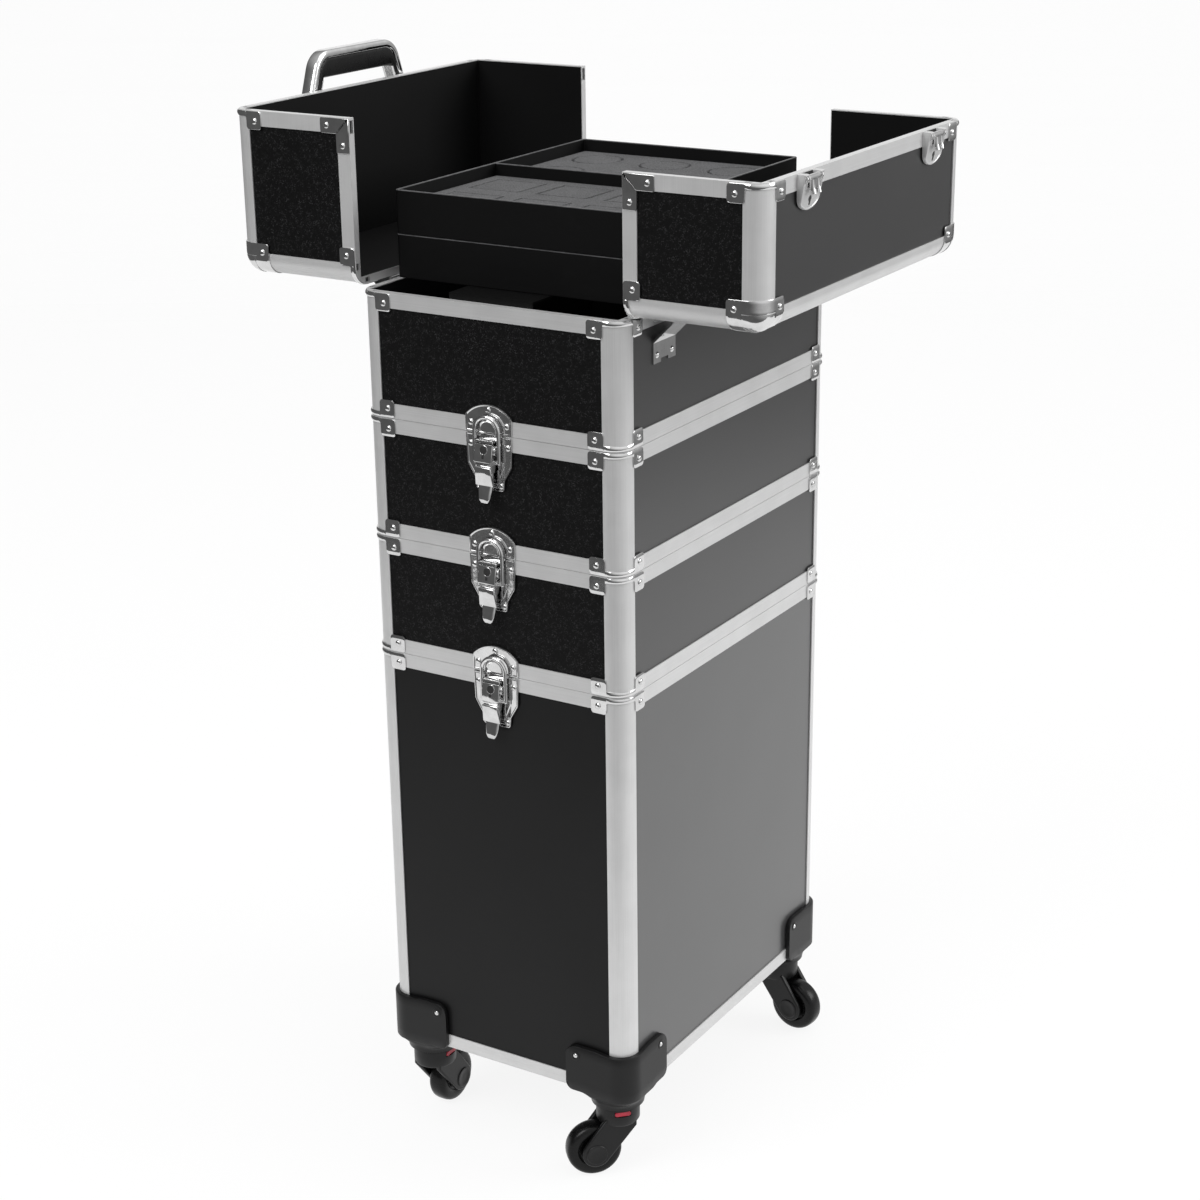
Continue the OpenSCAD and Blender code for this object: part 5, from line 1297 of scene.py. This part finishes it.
class MAKEUPCASE_OT_stage(bpy.types.Operator):
    """Builds the floor, the light and the camera"""
    bl_idname = "makeup_case.stage"
    bl_label = "Stage"

    def execute(self, context):
        scene = context.scene
        stage = scene.case_stage
        scene.view_settings.view_transform = "Standard"
        self.sweep(scene, stage)
        self.world(scene)
        for name, (place, size) in LAMPS.items():
            lamp = bpy.data.lights.new(name + "_light", "AREA")
            lamp.shape, lamp.size, lamp.energy = "SQUARE", size, getattr(stage, name)
            obj = bpy.data.objects.new(name + "_light", lamp)
            obj.location = place
            obj.rotation_euler = (LAMP_AIM - Vector(place)).to_track_quat("-Z", "Y").to_euler()
            scene.collection.objects.link(obj)
        self.camera(scene, stage)
        return {"FINISHED"}

    def sweep(self, scene, stage):
        """Pale sweep: a straight floor under the object that bends up behind it, in the camera's heading. The camera
        and mirrors see mostly its own white, and the rest is its shaded surface with the object's shadow."""
        front, behind, top = -0.8, 3.2, 3.2
        bend_r, left, right = 1.0, -1.55, 1.8
        white_share = 0.88
        line = np.concatenate([[(front, 0.0)], arc((behind, bend_r), bend_r, -90, 0, 13), [(behind + bend_r, top)]])
        az = math.radians(VIEW_TURN)
        away = np.array([-math.sin(az), math.cos(az), 0.0])
        aside = np.array([math.cos(az), math.sin(az), 0.0])
        points = (line[:, None, :1] * away + np.array([left, right])[None, :, None] * aside
                  + line[:, None, 1:] * np.array([0, 0, 1.0]))
        i = 2 * np.arange(len(line) - 1)
        mesh = bpy.data.meshes.new("floor")
        mesh.from_pydata(points.reshape(-1, 3).tolist(), [], np.stack([i, i + 1, i + 3, i + 2], 1).tolist())
        floor = bpy.data.objects.new("floor", mesh)
        scene.collection.objects.link(floor)
        f = Finish("pale_paper", stage.floor)
        f.surface(Base_Color=f.shades(f.noise(3.0, 2.0), 0.99, 1.01), Roughness=0.9)
        rays = f.add("ShaderNodeLightPath", output="Is Camera Ray")
        seen = (rays + rays.other("Is Glossy Ray") + rays.other("Is Transmission Ray")) > 0.5
        white = f.add("ShaderNodeEmission", {}, {"Color": (1, 1, 1, 1), "Strength": 1.0})
        look = f.add("ShaderNodeMixShader", {}, {0: seen * white_share, 1: Value(f, f.shader.outputs[0]), 2: white})
        f.join(f.nodes["Material Output"].inputs["Surface"], look)
        mesh.materials.append(f.material)

    def world(self, scene):
        """Studio: dim on the camera's left, brighter to the right and above."""
        scene.world = bpy.data.worlds.new("studio")
        tree = Tree(scene.world)
        way = tree.add("ShaderNodeTexCoord", output="Generated")
        along = tree.add("ShaderNodeVectorMath", {"operation": "DOT_PRODUCT"}, {0: way, 1: (0.6, 0.0, 0.8)}, "Value")
        level = tree.add("ShaderNodeMapRange", {"interpolation_type": "SMOOTHSTEP"},
                         {"Value": along, "From Min": -0.2, "From Max": 0.9, "To Min": 0.12, "To Max": 1.0})
        tree.join(tree.nodes["Background"].inputs["Color"], level)

    def camera(self, scene, stage):
        """Camera at the photograph's viewpoint, with its slight roll."""
        az, el, roll = (math.radians(v) for v in (VIEW_TURN, VIEW_HEIGHT, VIEW_ROLL))
        back = Vector((math.sin(az) * math.cos(el), -math.cos(az) * math.cos(el), math.sin(el)))
        right = Vector((math.cos(az), math.sin(az), 0))
        up = back.cross(right)
        x_axis = right * math.cos(roll) + up * math.sin(roll)
        y_axis = up * math.cos(roll) - right * math.sin(roll)
        lens = bpy.data.cameras.new("camera")
        lens.sensor_width = SENSOR
        lens.lens = stage.lens / MM
        lens.shift_x, lens.shift_y = VIEW_SHIFT
        lens.dof.use_dof = False
        obj = bpy.data.objects.new("camera", lens)
        turn = Matrix((x_axis, y_axis, back)).transposed().to_4x4()
        turn.translation = VIEW_PLACE
        obj.matrix_world = turn
        scene.collection.objects.link(obj)
        scene.camera = obj


OPERATORS = (MAKEUPCASE_OT_frame, MAKEUPCASE_OT_linings, MAKEUPCASE_OT_brackets, MAKEUPCASE_OT_lid_hardware,
             MAKEUPCASE_OT_stack_latches, MAKEUPCASE_OT_handle, MAKEUPCASE_OT_trays, MAKEUPCASE_OT_foam,
             MAKEUPCASE_OT_casters, MAKEUPCASE_OT_stage)
GROUPS = {"case_hardware": CaseHardwareSizes, "case_handle": CaseHandleSizes, "case_trays": CaseTraySizes,
          "case_casters": CaseCasterSizes, "case_colours": CaseColours, "case_stage": CaseStage}


class MAKEUPCASE_PT_pieces(bpy.types.Panel):
    """Lists the pieces, the sizes and the colours"""
    bl_label = "Makeup case"
    bl_space_type = "VIEW_3D"
    bl_region_type = "UI"
    bl_category = "Makeup case"

    def draw(self, context):
        for operator in OPERATORS:
            self.layout.operator(operator.bl_idname)
        for attribute, group in GROUPS.items():
            box = self.layout.box()
            box.label(text=group.__doc__)
            for name in group.__annotations__:
                box.prop(getattr(context.scene, attribute), name)


def register():
    for cls in (*GROUPS.values(), *OPERATORS, MAKEUPCASE_PT_pieces):
        bpy.utils.register_class(cls)
    for attribute, group in GROUPS.items():
        setattr(bpy.types.Scene, attribute, PointerProperty(type=group))


def unregister():
    for attribute in GROUPS:
        delattr(bpy.types.Scene, attribute)
    for cls in (MAKEUPCASE_PT_pieces, *reversed(OPERATORS), *reversed(GROUPS.values())):
        bpy.utils.unregister_class(cls)


def main():
    register()
    for operator in OPERATORS:
        group, name = operator.bl_idname.split(".")
        getattr(getattr(bpy.ops, group), name)()


if __name__ == "__main__":
    main()
